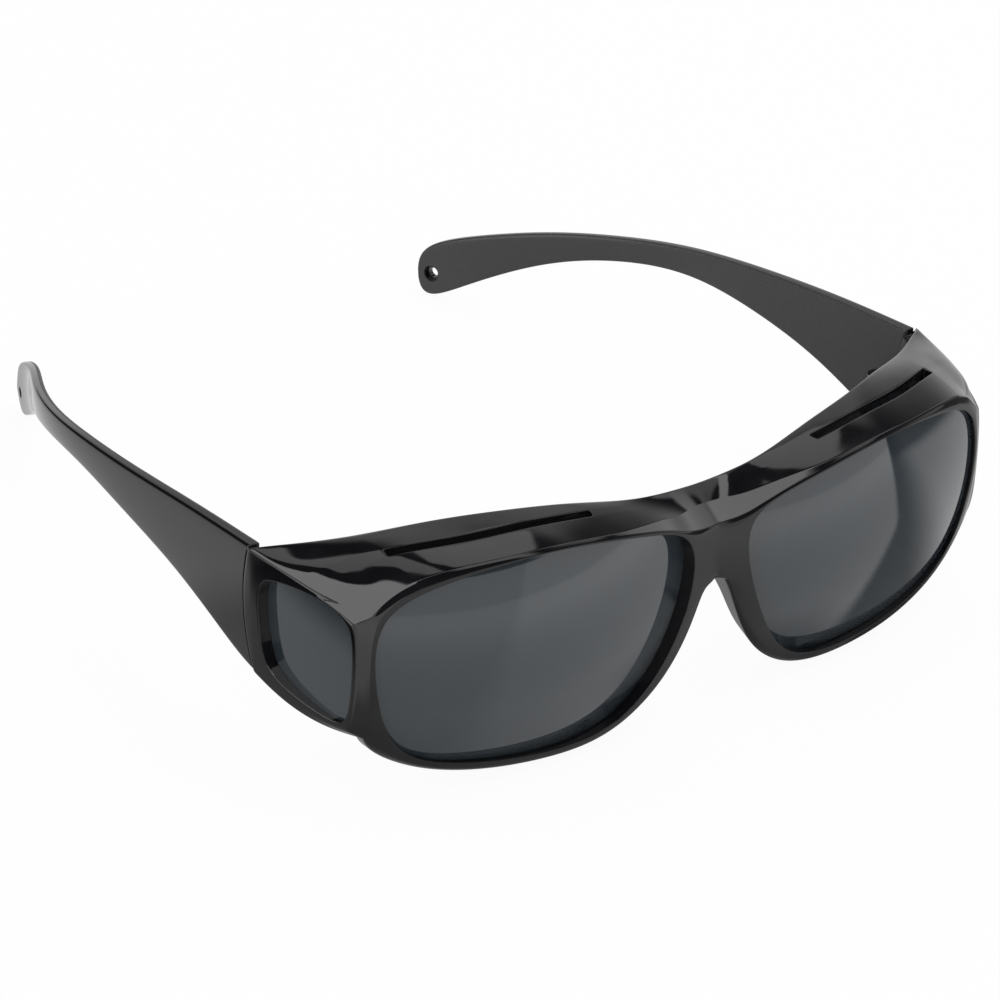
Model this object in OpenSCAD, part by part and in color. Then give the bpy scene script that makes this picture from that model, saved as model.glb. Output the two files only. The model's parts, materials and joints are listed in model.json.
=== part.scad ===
// Fit-over wraparound driving glasses, worn over a pair of spectacles.
// A moulded front holds two curved lenses and two flat side lenses. The
// temples turn on a screw each. +X is the wearer's left, the front faces -Y,
// and the glasses stand on the two rims and the two temple tips.
// The pieces are drawn with level temples, and placed() tips them until they
// stand. x = 0 is the middle, y = 0 the hinge end, z = 0 the top of a temple.

/* [Front] */
// Width of the gap between the two lens openings
bridge_w = 12; // [10:0.5:15]
// Width of a lens opening
lens_w = 60.2; // [56:0.2:64]
// Height of a lens opening
lens_h = 39.8; // [36:0.2:43]
// Width from a lens opening out to the hinge end
shoulder_w = 7.8; // [7.4:0.2:9]
// How far the crown of a lens opening stands above the temple top
lens_rise = 0.2; // [-1:0.1:1.5]
// How far the front reaches ahead of the hinge ends
front_reach = 35.3; // [34:0.1:38]
// Radius of the front across a lens
wrap_r = 70; // [66:1:78]
// Radius of the front up and down a lens
bow_r = 60; // [55:1:75]
// Wall of the brow shelf
shelf_wall = 1.8; // [1.4:0.1:2.2]
// Wall of the side shields
shield_wall = 3; // [2.8:0.1:3.2]

/* [Brow vents] */
// Length of a brow slot
slot_len = 36.4; // [28:0.2:38]
// Width of a brow slot
slot_w = 1.9; // [1.4:0.1:2.4]
// Distance from the nose side of a lens opening to the middle of its slot
slot_mid = 36; // [34:0.5:37]

/* [Side windows] */
// Length of a side window
window_len = 19.9; // [18:0.1:20.2]
// Height of a side window
window_h = 22; // [20:0.1:22.4]
// Distance from the hinge end forward to the window
window_rear = 1.7; // [1.6:0.1:2.4]
// Distance from the temple top down to the window
window_top = 4.2; // [4:0.1:5]

/* [Lenses] */
// Thickness of a main lens
lens_t = 1.6; // [1.2:0.1:1.8]
// Depth of the lens behind the rim at the temple side
recess_outer = 0.8; // [0.6:0.1:1.2]
// Depth of the lens behind the rim at the nose side
recess_inner = 3; // [2.4:0.1:3.6]
// Depth of the groove that holds a lens
groove = 0.5; // [0.3:0.1:0.6]
// Thickness of a side lens
side_lens_t = 1; // [0.8:0.1:1.2]
// Play between a lens and its groove
lens_play = 0.05; // [0.03:0.01:0.1]

/* [Temples] */
// Distance from the hinge end back to the temple tip
temple_reach = 116.4; // [110:0.4:122]
// How far the tip curves inward
temple_curve = 26.2; // [24:0.2:28]
// Height of a temple at its hinge end
hinge_h = 22.8; // [21.6:0.2:24]
// Thickness of a temple at its hinge end
temple_t = 2.8; // [2.6:0.1:3]
// Thickness of a temple at its tip
tip_t = 2.2; // [2:0.1:2.6]
// Radius of the lanyard hole
lanyard_r = 1; // [0.8:0.1:1.3]
// Radius of the sink round the lanyard hole on the inner face
lanyard_sink_r = 1.7; // [1.5:0.1:2]

/* [Hinges] */
// Radius of a hinge knuckle
knuckle_r = 2.2; // [2:0.1:2.3]
// Height of the temple knuckle
barrel_h = 5; // [4.4:0.2:5.6]
// Height of each frame knuckle
lug_h = 2.6; // [2.2:0.1:2.8]
// Gap between knuckles, and between a knuckle and the temple
hinge_gap = 0.1; // [0.08:0.01:0.15]
// Radius of the hinge screw
screw_r = 0.8; // [0.7:0.05:0.9]
// Radial play of the screw in its bore
screw_play = 0.04; // [0.02:0.01:0.08]

/* [Hidden] */

half_span = bridge_w / 2 + lens_w + shoulder_w;
eps = 0.01;

// Number of points along each stretch of the front
top_n = 30;
outer_n = 11;
rim_n = 32;
shelf_n = 9;
shield_n = 9;
edge_n = 10;
round_n = 96;

// Cubic spline through the plane or space, near its control points
function ctrl(c, i, closed) = let (n = len(c))
    closed ? c[(i + n) % n] : i < 0 ? 2 * c[0] - c[1] : i > n - 1 ? 2 * c[n - 1] - c[n - 2] : c[i];
function spline_at(c, u, closed) = let (
    i = min(floor(u), len(c) - (closed ? 1 : 2)),
    t = u - i,
    w = [pow(1 - t, 3), 3 * pow(t, 3) - 6 * t * t + 4, 3 * (t + t * t - pow(t, 3)) + 1, pow(t, 3)] / 6)
    w * [for (k = [-1:2]) ctrl(c, i + k, closed)];
function spline(c, n) = [for (k = [0:n]) spline_at(c, k * (len(c) - 1) / n, false)];
function loop(c, n) = [for (k = [0:n - 1]) spline_at(c, k * len(c) / n, true)];

function mix(a, b, t) = a + (b - a) * t;
function clamp01(t) = max(0, min(1, t));
function smooth(t) = let (s = clamp01(t)) s * s * (3 - 2 * s);
function col(p, i) = [for (q = p) q[i]];

// Closed outline stretched to fill a box from lo to hi
function fit_box(p, lo, hi) = let (
    a = [min(col(p, 0)), min(col(p, 1))], b = [max(col(p, 0)), max(col(p, 1))])
    [for (q = p) [for (i = [0, 1]) mix(lo[i], hi[i], (q[i] - a[i]) / (b[i] - a[i]))]];

// Radius of a closed outline against the angle round a centre
function polar_table(p, c) = [for (turn = [-360, 0, 360], q = p)
    [atan2(q[1] - c[1], q[0] - c[0]) + turn, norm(q - c)]];
function polar_point(table, c, a, grow) = c + (lookup(a, table) + grow) * [cos(a), sin(a)];

// Angles of a ring's points round a centre, evened out so that no two spokes
// crowd together: each is the mean of its neighbours'
reach_n = 3;
function unwound(p, c, turn) = let (a = [for (q = p) atan2(q[1] - c[1], q[0] - c[0])])
    [for (q = a) turn * (q - a[0]) < 0 ? q + turn * 360 : q];
function ring_angle(a, i, turn) = let (n = len(a))
    i < 0 ? a[i + n] - turn * 360 : i < n ? a[i] : a[i - n] + turn * 360;
function total(v, i = 0) = i == len(v) ? 0 : v[i] + total(v, i + 1);
function spokes(p, c, turn) = let (a = unwound(p, c, turn)) [for (i = [0:len(a) - 1])
    total([for (k = [-reach_n:reach_n]) ring_angle(a, i + k, turn)]) / (2 * reach_n + 1)];
function on_turn(a) = a - 360 * round(a / 360);

// Front face of the rims: each side bulges ahead at the middle of its lens
bulge_x = 27;
bulge_z = -11.4;
bridge_soft = 4;
function face_y(x, z) = let (s = sqrt(x * x + bridge_soft * bridge_soft))
    -front_reach + pow(s - bulge_x, 2) / (2 * wrap_r) + pow(z - bulge_z, 2) / (2 * bow_r);

// Lens opening, seen from the front
lens_c = [bridge_w / 2 + lens_w / 2, lens_rise - lens_h / 2];
opening = fit_box(loop([[51.5, -37.5], [62.5, -34], [66.5, -20], [66.5, -6], [55.5, -1.5], [37, 1],
    [17.5, -2.5], [5, -6], [6, -17.5], [11.5, -31], [19.5, -40], [35, -40]], round_n),
    [bridge_w / 2, lens_rise - lens_h], [bridge_w / 2 + lens_w, lens_rise]);
opening_table = polar_table(opening, lens_c);
function on_opening(a, grow) = polar_point(opening_table, lens_c, on_turn(a), grow);

// Outer outline of the front, as distances from the middle, the side end of
// the rim, the crown and the foot of the opening
rim_x = half_span - 6.4;
foot = lens_rise - lens_h;
arch_z = -16.8;
bridge_z = -6.4;
top_edge = [[0, bridge_z], [5.5, bridge_z + 0.2], [bridge_w, lens_rise - 3.2], [22, lens_rise - 1],
    [33.5, lens_rise + 0.75], [45.5, lens_rise + 0.5], [rim_x - 11.2, lens_rise],
    [rim_x - 4.4, lens_rise - 2.4], [rim_x - 0.9, lens_rise - 6.3]];
outer_edge = [[rim_x - 0.9, lens_rise - 6.3], [rim_x - 0.1, -9.5], [rim_x + 0.2, -15], [rim_x + 0.1, -22],
    [rim_x - 0.5, foot + 10.6]];
rim_edge = [[rim_x - 0.5, foot + 10.6], [rim_x - 2, foot + 7.2], [rim_x - 10, foot + 1.9], [46, foot - 0.9],
    [34.5, foot - 1.8], [24, foot - 2.4], [16, foot + 0.5], [9, -33], [4.5, -23.5], [2.6, arch_z - 0.4],
    [0, arch_z]];

// Rear edge of the brow shelf, from the bridge to the top of the hinge end
brow_rear = front_reach - 9.8;
rail = [[0, -brow_rear, -0.8], [13, -brow_rear, -0.4], [25.5, 2 - brow_rear, 2.5],
    [39, 4.5 - brow_rear, 4], [half_span - 24.5, 10.5 - brow_rear, 3.1],
    [half_span - 12.5, 16.3 - brow_rear, 1.2], [half_span, 0, 0]];

// Lens recess, the back of its groove, and depth of the rim behind its face.
// The rim behind the groove is lip[0] deep at the nose and lip[1] at the temple.
lip = [2.4, 2];
function rim_share(x) = clamp01((x - bridge_w / 2) / lens_w);
function recess(x) = mix(recess_inner, recess_outer, rim_share(x));
function groove_back(x) = recess(x) + lens_t + 2 * lens_play;
function rim_depth(x) = groove_back(x) + mix(lip[0], lip[1], rim_share(x));

// Edge of the front at the shield: out from the face at the rim to half_span
function side_x(y) = y > 0 ? half_span : half_span + 0.15 * y - 0.0036 * y * y;
round_over = 0.8;
function face_point(q, back) = [q[0], face_y(q[0], q[1]) + back, q[1]];
rim_top = [for (q = spline(top_edge, top_n)) face_point(q, 0)];
rim_side = [for (q = spline(outer_edge, outer_n)) face_point(q, 0)];
rim_low_line = spline(rim_edge, rim_n);
rim_low = [for (i = [0:rim_n]) face_point(rim_low_line[i], round_over * smooth(i / 5))];
rim_mid = [for (t = [0.08, 0.36, 0.68]) face_point([0, mix(arch_z, bridge_z, t)], 0)];
rail_line = spline(rail, top_n);

// Brow shelf, one row of points from the rim back to the rail for each point
// of the top edge: a bevel first, wide at the bridge, then a crowned shelf
shelf_crown = 0.3;
function bevel(e) = mix([0, 3.4, 2.8], [0, 0.3, 0.35], smooth(e * 2.2));
function crown_at(e, t) = let (rise = shelf_crown + 0.8 * smooth(e * 4 - 2.4))
    [0, 0, 4 * rise * (1 - smooth(e * 10 - 9)) * t * (1 - t)];
function shelf_row(a, b, e) = let (c = a + bevel(e) * (1 - smooth(e * 4 - 3)))
    [for (j = [0:shelf_n]) j == 0 ? a : let (t = (j - 1) / (shelf_n - 1))
        mix(c, b, t) + crown_at(e, t)];
function bulge_at(j) = j == shelf_n ? 0 : smooth(j / 2.5);
function shield_bulge(row, e) = [for (j = [0:shelf_n]) row[j]
    + [1, 0, 0] * (side_x(row[j][1]) - row[j][0]) * smooth(e * 8 - 7) * bulge_at(j)];
shelf_out = [for (i = [0:top_n]) let (e = i / top_n) shield_bulge(shelf_row(rim_top[i], rail_line[i], e), e)];

// The same surfaces from inside
corner_in = [-0.6, 3.6, 1.2];
function top_in(i) = let (
    e = i / top_n, a = rim_top[i], b = rail_line[i],
    d = min(rim_depth(a[0]), 0.72 * (b[1] - a[1])),
    f = d / (b[1] - a[1]),
    w = smooth(e * 5 - 4))
    mix(a + [0, d, mix(bevel(e)[2], b[2] - a[2], f) - shelf_wall + 0.5], a + corner_in, w);
function rail_in(i) = rail_line[i] + [-shield_wall * smooth(i / top_n * 6 - 5), 0, -shelf_wall - 0.4];
shelf_in = [for (i = [0:top_n]) let (a = top_in(i), b = rail_in(i))
    shield_bulge_in([for (j = [0:shelf_n]) mix(a, b, j / shelf_n)
        + crown_at(i / top_n, j / shelf_n) + [0, 0, 4.8 * (j / shelf_n) * (1 - j / shelf_n)]
        * smooth(i / top_n * 10 - 9)], i / top_n)];
function shield_bulge_in(row, e) = [for (j = [0:shelf_n]) row[j]
    + [1, 0, 0] * (side_x(row[j][1]) - shield_wall - row[j][0]) * smooth(e * 8 - 7) * bulge_at(j)];
side_in = [for (i = [0:outer_n])
    rim_side[i] + [corner_in[0], corner_in[1], corner_in[2] * (1 - i / outer_n)]];
flare = 2.2;
function flared(x) = flare * smooth((26 - x) / 18) * [0.94 * smooth(x / 6), 0, 0.34 * smooth((x - 1) / 5)];
low_in = [for (i = [0:rim_n]) let (p = rim_low[i], s = smooth(i / rim_n * 6))
    p + mix([corner_in[0], corner_in[1] - round_over, 0],
        [0, rim_depth(p[0]) - round_over, 0] + flared(p[0]), s)];
bridge_depth = shelf_in[0][0][1] - rim_top[0][1];
mid_in = [for (p = rim_mid) let (t = (p[2] - arch_z) / (bridge_z - arch_z))
    p + [0, mix(rim_depth(0), bridge_depth, t * t), 0]];

// Ring round a lens opening: the face, the wall of the opening with its
// groove, and the back. Its outer points run from the bridge over the top.
function after_first(p) = [for (i = [1:len(p) - 1]) p[i]];
ring_out = concat(rim_top, after_first(rim_side), after_first(rim_low), rim_mid);
ring_in = concat([for (row = shelf_in) row[0]], after_first(side_in), after_first(low_in), mid_in);
face_crown = 0.15;
lip_step = 0.1;
spoke_a = spokes([for (p = ring_out) [p[0], p[2]]], lens_c, -1);
function face_row(p, a) = let (o = on_opening(a, 0)) [
    for (t = [0, 0.35, 0.7]) let (q = mix(o, [p[0], p[2]], t)) face_point(q, -face_crown * sin(180 * t)), p];
function wall_row(a) = let (
    o = on_opening(a, 0), g = on_opening(a, groove), k = on_opening(a, lip_step),
    r = recess(o[0]), f = face_y(o[0], o[1]))
    [[o[0], f, o[1]], [o[0], f + r, o[1]], [g[0], f + r, g[1]],
     [g[0], f + groove_back(o[0]), g[1]], [k[0], f + groove_back(o[0]), k[1]],
     [k[0], f + rim_depth(o[0]), k[1]]];
function back_row(i) = [wall_row(spoke_a[i])[5], ring_in[i]];

// Side shield: ring round the side window, from the rim back to the hinge end
hinge_bulge = 2.2;
bulge_r = (pow(hinge_h / 2, 2) + pow(hinge_bulge, 2)) / (2 * hinge_bulge);
function end_y(z) = hinge_bulge - bulge_r + sqrt(bulge_r * bulge_r - pow(z + hinge_h / 2, 2));
window_front = -window_rear - window_len;
pocket = 0.4;
side_recess = [0.6, 2.1];
front_wall = 1.9;
function window_recess(y) = mix(side_recess[0], side_recess[1], clamp01((y - window_front) / window_len));
function wall_at(y) = y < window_front ? front_wall
    : min(shield_wall, window_recess(y) + side_lens_t + 2 * lens_play);
low_corner = rim_side[outer_n];
shield_low = spline([low_corner, [side_x(-14.6), -14.6, -28.2], [side_x(-6), -6, -26],
    [half_span, 0, -hinge_h]], shield_n);
shield_end = [for (k = [1:edge_n - 1]) let (z = -hinge_h * (1 - k / edge_n)) [half_span, end_y(z), z]];
shield_out = concat(rim_side, after_first(shield_low), shield_end,
    [for (j = [0:shelf_n - 1]) shelf_out[top_n][shelf_n - j]]);
shield_in = concat(side_in, [for (k = [1:shield_n]) shield_low[k] + [-wall_at(shield_low[k][1]), 0, 0.3]],
    [for (p = shield_end) p + [-shield_wall, 0, 0]],
    [for (j = [0:shelf_n - 1]) shelf_in[top_n][shelf_n - j]]);
// Centre of the spokes round a window, a little behind and above its middle
window_c = [0.25 - window_rear - window_len / 2, 0.6 - window_top - window_h / 2];
window = fit_box(loop([[-1.6, -11], [-1.7, -6.2], [-4.6, -4.2], [-11, -4.2], [-17.6, -4.9], [-21.4, -7.6],
    [-21.6, -13], [-20.9, -21], [-20, -26.5], [-15.5, -26.2], [-8, -23.8], [-3.4, -21.5], [-1.9, -17]],
    round_n), [window_front, -window_top - window_h], [-window_rear, -window_top]);
window_table = polar_table(window, window_c);
function on_side_face(q) = [side_x(q[1]), q[1], q[2]];
spoke_w = unwound([for (p = shield_out) [p[1], p[2]]], window_c, 1);
function on_window(a, grow) = let (q = polar_point(window_table, window_c, on_turn(a), grow))
    [side_x(q[0]), q[0], q[1]];
function shield_row(p, a) = let (w = on_window(a, 0))
    [p, on_side_face(mix(p, w, 0.15)), on_side_face(mix(p, w, 0.6)), w];
function window_row(a) = let (w = on_window(a, 0), b = on_window(a, pocket))
    [w, w - [window_recess(w[1]), 0, 0], b - [window_recess(b[1]), 0, 0], b - [wall_at(b[1]), 0, 0]];
function shield_back(i) = [window_row(spoke_w[i])[3], shield_in[i]];

// Polyhedra from grids of points that meet along their borders
function grid_points(g) = [for (row = g, p = row) p];
function grid_faces(g, base, closed, flip) = let (n = len(g), m = len(g[0]))
    [for (i = [0:n - (closed ? 1 : 2)], j = [0:m - 2]) let (
        a = base + i * m + j, b = base + ((i + 1) % n) * m + j)
        for (t = flip ? [[a, b + 1, b], [a, a + 1, b + 1]] : [[a, b, b + 1], [a, b + 1, a + 1]]) t];
function mirrored(g) = [for (row = g) [for (p = row) [-p[0], p[1], p[2]]]];
function starts(gs, i = 0, at = 0) = i == len(gs) ? [] :
    concat([at], starts(gs, i + 1, at + len(gs[i][0]) * len(gs[i][0][0])));
module skin(grids) {
    at = starts(grids);
    polyhedron(
        points = [for (g = grids) for (p = grid_points(g[0])) p],
        faces = [for (i = [0:len(grids) - 1], g = [grids[i]])
            for (f = grid_faces(g[0], at[i], g[1], g[2])) f],
        convexity = 8);
}
function both_sides(gs) = concat(gs, [for (g = gs) [mirrored(g[0]), g[1], !g[2]]]);

// Each grid with whether it is a ring, and which way its faces turn
shell_grids = [
    [[for (i = [0:len(ring_out) - 1]) face_row(ring_out[i], spoke_a[i])], true, true],
    [[for (a = spoke_a) wall_row(a)], true, false],
    [[for (i = [0:len(ring_out) - 1]) back_row(i)], true, false],
    [concat([[low_corner, side_in[outer_n]]], [for (i = [1:rim_n]) [rim_low[i], low_in[i]]]), false, true],
    [shelf_out, false, true],
    [shelf_in, false, false],
    [[for (i = [0:top_n]) [shelf_out[i][shelf_n], shelf_in[i][shelf_n]]], false, true],
    [[for (i = [0:len(shield_out) - 1]) shield_row(shield_out[i], spoke_w[i])], true, true],
    [[for (a = spoke_w) window_row(a)], true, true],
    [[for (i = [0:len(shield_out) - 1]) shield_back(i)], true, true],
    [[for (i = [outer_n:outer_n + shield_n + edge_n]) [shield_out[i], shield_in[i]]], false, false]];

// Hinge axis, and the heights of its knuckles
axis_x = half_span - temple_t - 0.2 - knuckle_r;
axis_y = hinge_bulge + 2;
knuckle_top = -9;
barrel_top = knuckle_top - lug_h - hinge_gap;
lug_low = barrel_top - barrel_h - hinge_gap;
knuckle_foot = lug_low - lug_h;

// Temple: plan line of the outer face, and heights of its two edges
temple_n = 40;
temple_plan = [[0, 0], [-0.5, 0.196], [-1.5, 0.383], [-4.5, 0.574], [-11.5, 0.743], [-21, 0.878],
    [-temple_curve, 1]];
temple_top = [[0, 0], [0.17, 0.5], [0.34, 0], [0.504, -0.5], [0.65, -2.4], [0.79, -4.4], [0.905, -7.6],
    [0.98, -10.8], [1, -14], [1, -17]];
temple_foot = [[0, -hinge_h], [0.052, 1.5 - hinge_h], [0.194, -13], [0.356, -8.5], [0.5, -5.5],
    [0.65, -7], [0.785, -10.5], [0.9, -17.3], [0.98, -22.8], [1, -20.3], [1, -17.2]];
function reach_table(c) = [for (q = spline(c, round_n)) [q[0] * temple_reach, q[1]]];
top_table = reach_table(temple_top);
foot_table = reach_table(temple_foot);
plan_line = [for (q = spline(temple_plan, round_n)) [half_span + q[0], q[1] * temple_reach]];
plan_table = [for (q = plan_line) [q[1], q[0]]];
temple_profile = [for (k = [0:temple_n]) let (y = temple_reach * sin(90 * k / temple_n))
    [y, lookup(y, top_table), lookup(y, foot_table)]];
function temple_slope(y) = (lookup(y + 0.5, plan_table) - lookup(y - 0.5, plan_table))
    / (min(y + 0.5, temple_reach) - max(y - 0.5, 0));
edge_round = 0.5;
function temple_ring(s) = let (
    y = s[0], hi = s[1], lo = s[2], m = temple_slope(y),
    n = [1, -m] / norm([1, -m]),
    t = mix(temple_t, tip_t, y / temple_reach),
    r = min(edge_round, (hi - lo) / 3),
    o = [lookup(y, plan_table), y])
    [for (q = [[-r, hi], [0, hi - r], [0, (hi + lo) / 2 + (hi - lo) / 6], [0, (hi + lo) / 2 - (hi - lo) / 6],
        [0, lo + r], [-r, lo], [r - t, lo], [-t, lo + r], [-t, hi - r], [r - t, hi]])
        let (p = o + n * q[0]) [p[0], p[1], q[1]]];
temple_rings = [for (s = temple_profile) temple_ring(s)];

// How the glasses stand: on the rear edges of the rims and on the tips
rim_contact = [for (i = [0:rim_n]) low_in[i]];
tip_low = [for (s = temple_profile) if (s[0] > temple_reach / 2) [s[0], s[2]]];
rest_tilt = atan(max([for (p = rim_contact) min([for (q = tip_low) (q[1] - p[2]) / (q[0] - p[1])])]));
function tipped(p) = [p[0], p[1] * cos(rest_tilt) + p[2] * sin(rest_tilt),
    p[2] * cos(rest_tilt) - p[1] * sin(rest_tilt)];
outer_points = [for (p = concat(grid_points(shell_grids[0][0]), grid_points(shelf_out), low_in,
    grid_points(temple_rings))) tipped(p)];
lift = [0, -(min(col(outer_points, 1)) + max(col(outer_points, 1))) / 2, -min(col(outer_points, 2))];
module placed() {
    translate(lift)
        rotate([-rest_tilt, 0, 0])
            children();
}
module on_side(side) {
    if (side > 0) children();
    else mirror([1, 0, 0]) children();
}

// Lanyard hole, square to the temple near its tip
hole_back = 3;
hole_y = temple_reach - hole_back;
hole_z = -17;
hole_turn = atan(temple_slope(hole_y));
hole_t = mix(temple_t, tip_t, hole_y / temple_reach);
sink_depth = 0.9;

module temple_blank() {
    n = len(temple_rings);
    m = len(temple_rings[0]);
    polyhedron(
        points = grid_points(temple_rings),
        faces = concat(
            [for (i = [0:n - 2], j = [0:m - 1]) let (
                a = i * m + j, b = i * m + (j + 1) % m)
                for (t = [[a, b + m, b], [a, a + m, b + m]]) t],
            [[for (j = [0:m - 1]) j]],
            [[for (j = [0:m - 1]) n * m - 1 - j]]),
        convexity = 6);
}

module screw_bore(r, top, h) {
    translate([axis_x, axis_y, top - h])
        cylinder(r = r, h = h, $fn = 32);
}

// Root of the temple knuckle: how far it starts ahead of the axis, its length,
// and the skin of the temple that covers it
root_ahead = 0.6;
root_len = 5;
root_cover = 1.2;
module knuckle_root() {
    translate([axis_x, axis_y - root_ahead, barrel_top - barrel_h])
        cube([half_span - root_cover - axis_x, root_len, barrel_h]);
}

// Drum that hollows the temple's front end to the bulge of the shield's end
drum_w = 20;
module end_drum() {
    translate([half_span - drum_w / 2, hinge_bulge + hinge_gap * 2 - bulge_r, -hinge_h / 2])
        rotate([0, 90, 0])
            cylinder(r = bulge_r, h = drum_w, center = true, $fn = 128);
}

module temple() {
    difference() {
        union() {
            temple_blank();
            translate([axis_x, axis_y, barrel_top - barrel_h])
                cylinder(r = knuckle_r, h = barrel_h, $fn = 48);
            knuckle_root();
        }
        end_drum();
        screw_bore(screw_r + screw_play, barrel_top + eps, barrel_h + 2 * eps);
        translate([lookup(hole_y, plan_table), hole_y, hole_z])
            rotate([0, 0, -hole_turn])
                rotate([0, -90, 0]) {
                    translate([0, 0, -2])
                        cylinder(r = lanyard_r, h = hole_t + 4, $fn = 32);
                    translate([0, 0, hole_t - sink_depth])
                        cylinder(r = lanyard_sink_r, h = sink_depth + 2, $fn = 32);
                }
    }
}

// Brow slot, bowed ahead like the brow
slot_x = bridge_w / 2 + slot_mid;
slot_y = 12.3 - front_reach;
slot_turn = 14.7;
slot_bow_r = 75;
slot_n = 10;
function bow_drop(u) = sqrt(slot_bow_r * slot_bow_r - u * u);
function slot_bow(u) = bow_drop(slot_len / 2) - bow_drop(u);

slot_cut = 12;
module brow_slot() {
    line = [for (k = [0:slot_n]) let (u = slot_len * (k / slot_n - 0.5)) [u, slot_bow(u)]];
    translate([slot_x, slot_y, 0])
        rotate([0, 0, slot_turn])
            linear_extrude(slot_cut, center = true)
                polygon(concat([for (q = line) q - [0, slot_w / 2]],
                    [for (k = [0:slot_n]) line[slot_n - k] + [0, slot_w / 2]]));
}

// Frame knuckle. Its root goes into the end of the shield, under a cover.
lug_root = 1.4;
lug_cover = 0.9;
lug_back = 0.5;
module lug(top) {
    translate([axis_x, axis_y, top - lug_h])
        cylinder(r = knuckle_r, h = lug_h, $fn = 48);
    translate([axis_x - knuckle_r, -lug_root, top - lug_h]) {
        cube([2 * knuckle_r, axis_y + lug_root, lug_h]);
        cube([half_span - lug_cover - axis_x + knuckle_r, lug_root + lug_back, lug_h]);
    }
}

module front_frame() {
    color([0.05, 0.05, 0.06])
        placed()
            difference() {
                union() {
                    skin(both_sides(shell_grids));
                    for (side = [1, -1]) on_side(side) {
                        lug(knuckle_top);
                        lug(lug_low);
                    }
                }
                for (side = [1, -1]) on_side(side) {
                    brow_slot();
                    screw_bore(screw_r + screw_play, knuckle_top + eps, lug_h + 2 * eps);
                    screw_bore(screw_r + screw_play, lug_low + eps, lug_h + 2 * eps);
                }
            }
}

// Main lens: the same curve as the front, set back by its recess
lens_rings = [0, 0.3, 0.55, 0.8, 1];
lens_spokes = 60;
lens_grow = groove - lens_play;
function lens_point(a, t, back) = let (
    q = mix(lens_c, on_opening(a, lens_grow), t))
    face_point(q, recess(q[0]) + back);
function lens_sheet(back) = [for (k = [0:lens_spokes - 1]) [for (t = lens_rings)
    lens_point(k * 360 / lens_spokes, t == 0 ? 0.002 : t, back)]];
module main_lens() {
    front = lens_sheet(lens_play);
    rear = lens_sheet(lens_play + lens_t);
    n = lens_spokes;
    m = len(lens_rings);
    polyhedron(
        points = concat(grid_points(front), grid_points(rear)),
        faces = concat(
            grid_faces(front, 0, true, false), grid_faces(rear, n * m, true, true),
            [for (i = [0:n - 1]) let (a = i * m + m - 1, b = ((i + 1) % n) * m + m - 1)
                for (t = [[a, b, b + n * m], [a, b + n * m, a + n * m]]) t],
            [[for (i = [0:n - 1]) (n - 1 - i) * m]],
            [[for (i = [0:n - 1]) n * m + i * m]]),
        convexity = 4);
}

// Side lens: a sheet in the side window, against its ledge
function side_lens_point(a, t, sink) = let (
    q = mix(window_c, polar_point(window_table, window_c, a, pocket - lens_play), t))
    [side_x(q[0]) - window_recess(q[0]) - sink, q[0], q[1]];
side_rings = [0.004, 0.5, 1];
side_spokes = 40;
function side_sheet(sink) = [for (k = [0:side_spokes - 1]) [for (t = side_rings)
    side_lens_point(k * 360 / side_spokes, t, sink)]];
module side_lens() {
    outer = side_sheet(lens_play);
    inner = side_sheet(lens_play + side_lens_t);
    n = side_spokes;
    m = len(side_rings);
    polyhedron(
        points = concat(grid_points(outer), grid_points(inner)),
        faces = concat(
            grid_faces(outer, 0, true, false), grid_faces(inner, n * m, true, true),
            [for (i = [0:n - 1]) let (a = i * m + m - 1, b = ((i + 1) % n) * m + m - 1)
                for (t = [[a, b, b + n * m], [a, b + n * m, a + n * m]]) t],
            [[for (i = [0:n - 1]) (n - 1 - i) * m]],
            [[for (i = [0:n - 1]) n * m + i * m]]),
        convexity = 4);
}

// Hinge screw: put in from below, with a slotted head, and short of the top
head_r = 1.6;
head_h = 0.9;
driver_w = 0.5;
driver_deep = 0.4;
screw_short = 0.3;
module hinge_screw() {
    difference() {
        union() {
            translate([axis_x, axis_y, knuckle_foot])
                cylinder(r = screw_r, h = knuckle_top - knuckle_foot - screw_short, $fn = 32);
            translate([axis_x, axis_y, knuckle_foot - head_h])
                cylinder(r = head_r, h = head_h, $fn = 32);
        }
        translate([axis_x - head_r, axis_y - driver_w / 2, knuckle_foot - head_h - eps])
            cube([2 * head_r, driver_w, driver_deep]);
    }
}

module lens_left() {
    color([0.28, 0.31, 0.34]) placed() main_lens();
}
module lens_right() {
    color([0.28, 0.31, 0.34]) placed() on_side(-1) main_lens();
}
module side_lens_left() {
    color([0.28, 0.31, 0.34]) placed() side_lens();
}
module side_lens_right() {
    color([0.28, 0.31, 0.34]) placed() on_side(-1) side_lens();
}
module temple_left() {
    color([0.07, 0.07, 0.08]) placed() temple();
}
module temple_right() {
    color([0.07, 0.07, 0.08]) placed() on_side(-1) temple();
}
module hinge_screw_left() {
    color([0.7, 0.7, 0.72]) placed() hinge_screw();
}
module hinge_screw_right() {
    color([0.7, 0.7, 0.72]) placed() on_side(-1) hinge_screw();
}

hole_in = [-cos(hole_turn), sin(hole_turn), 0];
hole_mid = [lookup(hole_y, plan_table), hole_y, hole_z] + hole_in * (hole_t - sink_depth) / 2;
echo(tilt = rest_tilt, lift = lift, hinge = lift + tipped([axis_x, axis_y, barrel_top - barrel_h / 2]),
    lanyard = lift + tipped(hole_mid), lanyard_axis = tipped(hole_in), lanyard_length = hole_t - sink_depth);

front_frame();
lens_left();
lens_right();
side_lens_left();
side_lens_right();
temple_left();
temple_right();
hinge_screw_left();
hinge_screw_right();
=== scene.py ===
"""Fit-over driving glasses: the visible pieces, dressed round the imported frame."""
import json
import math
from collections import namedtuple

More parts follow.
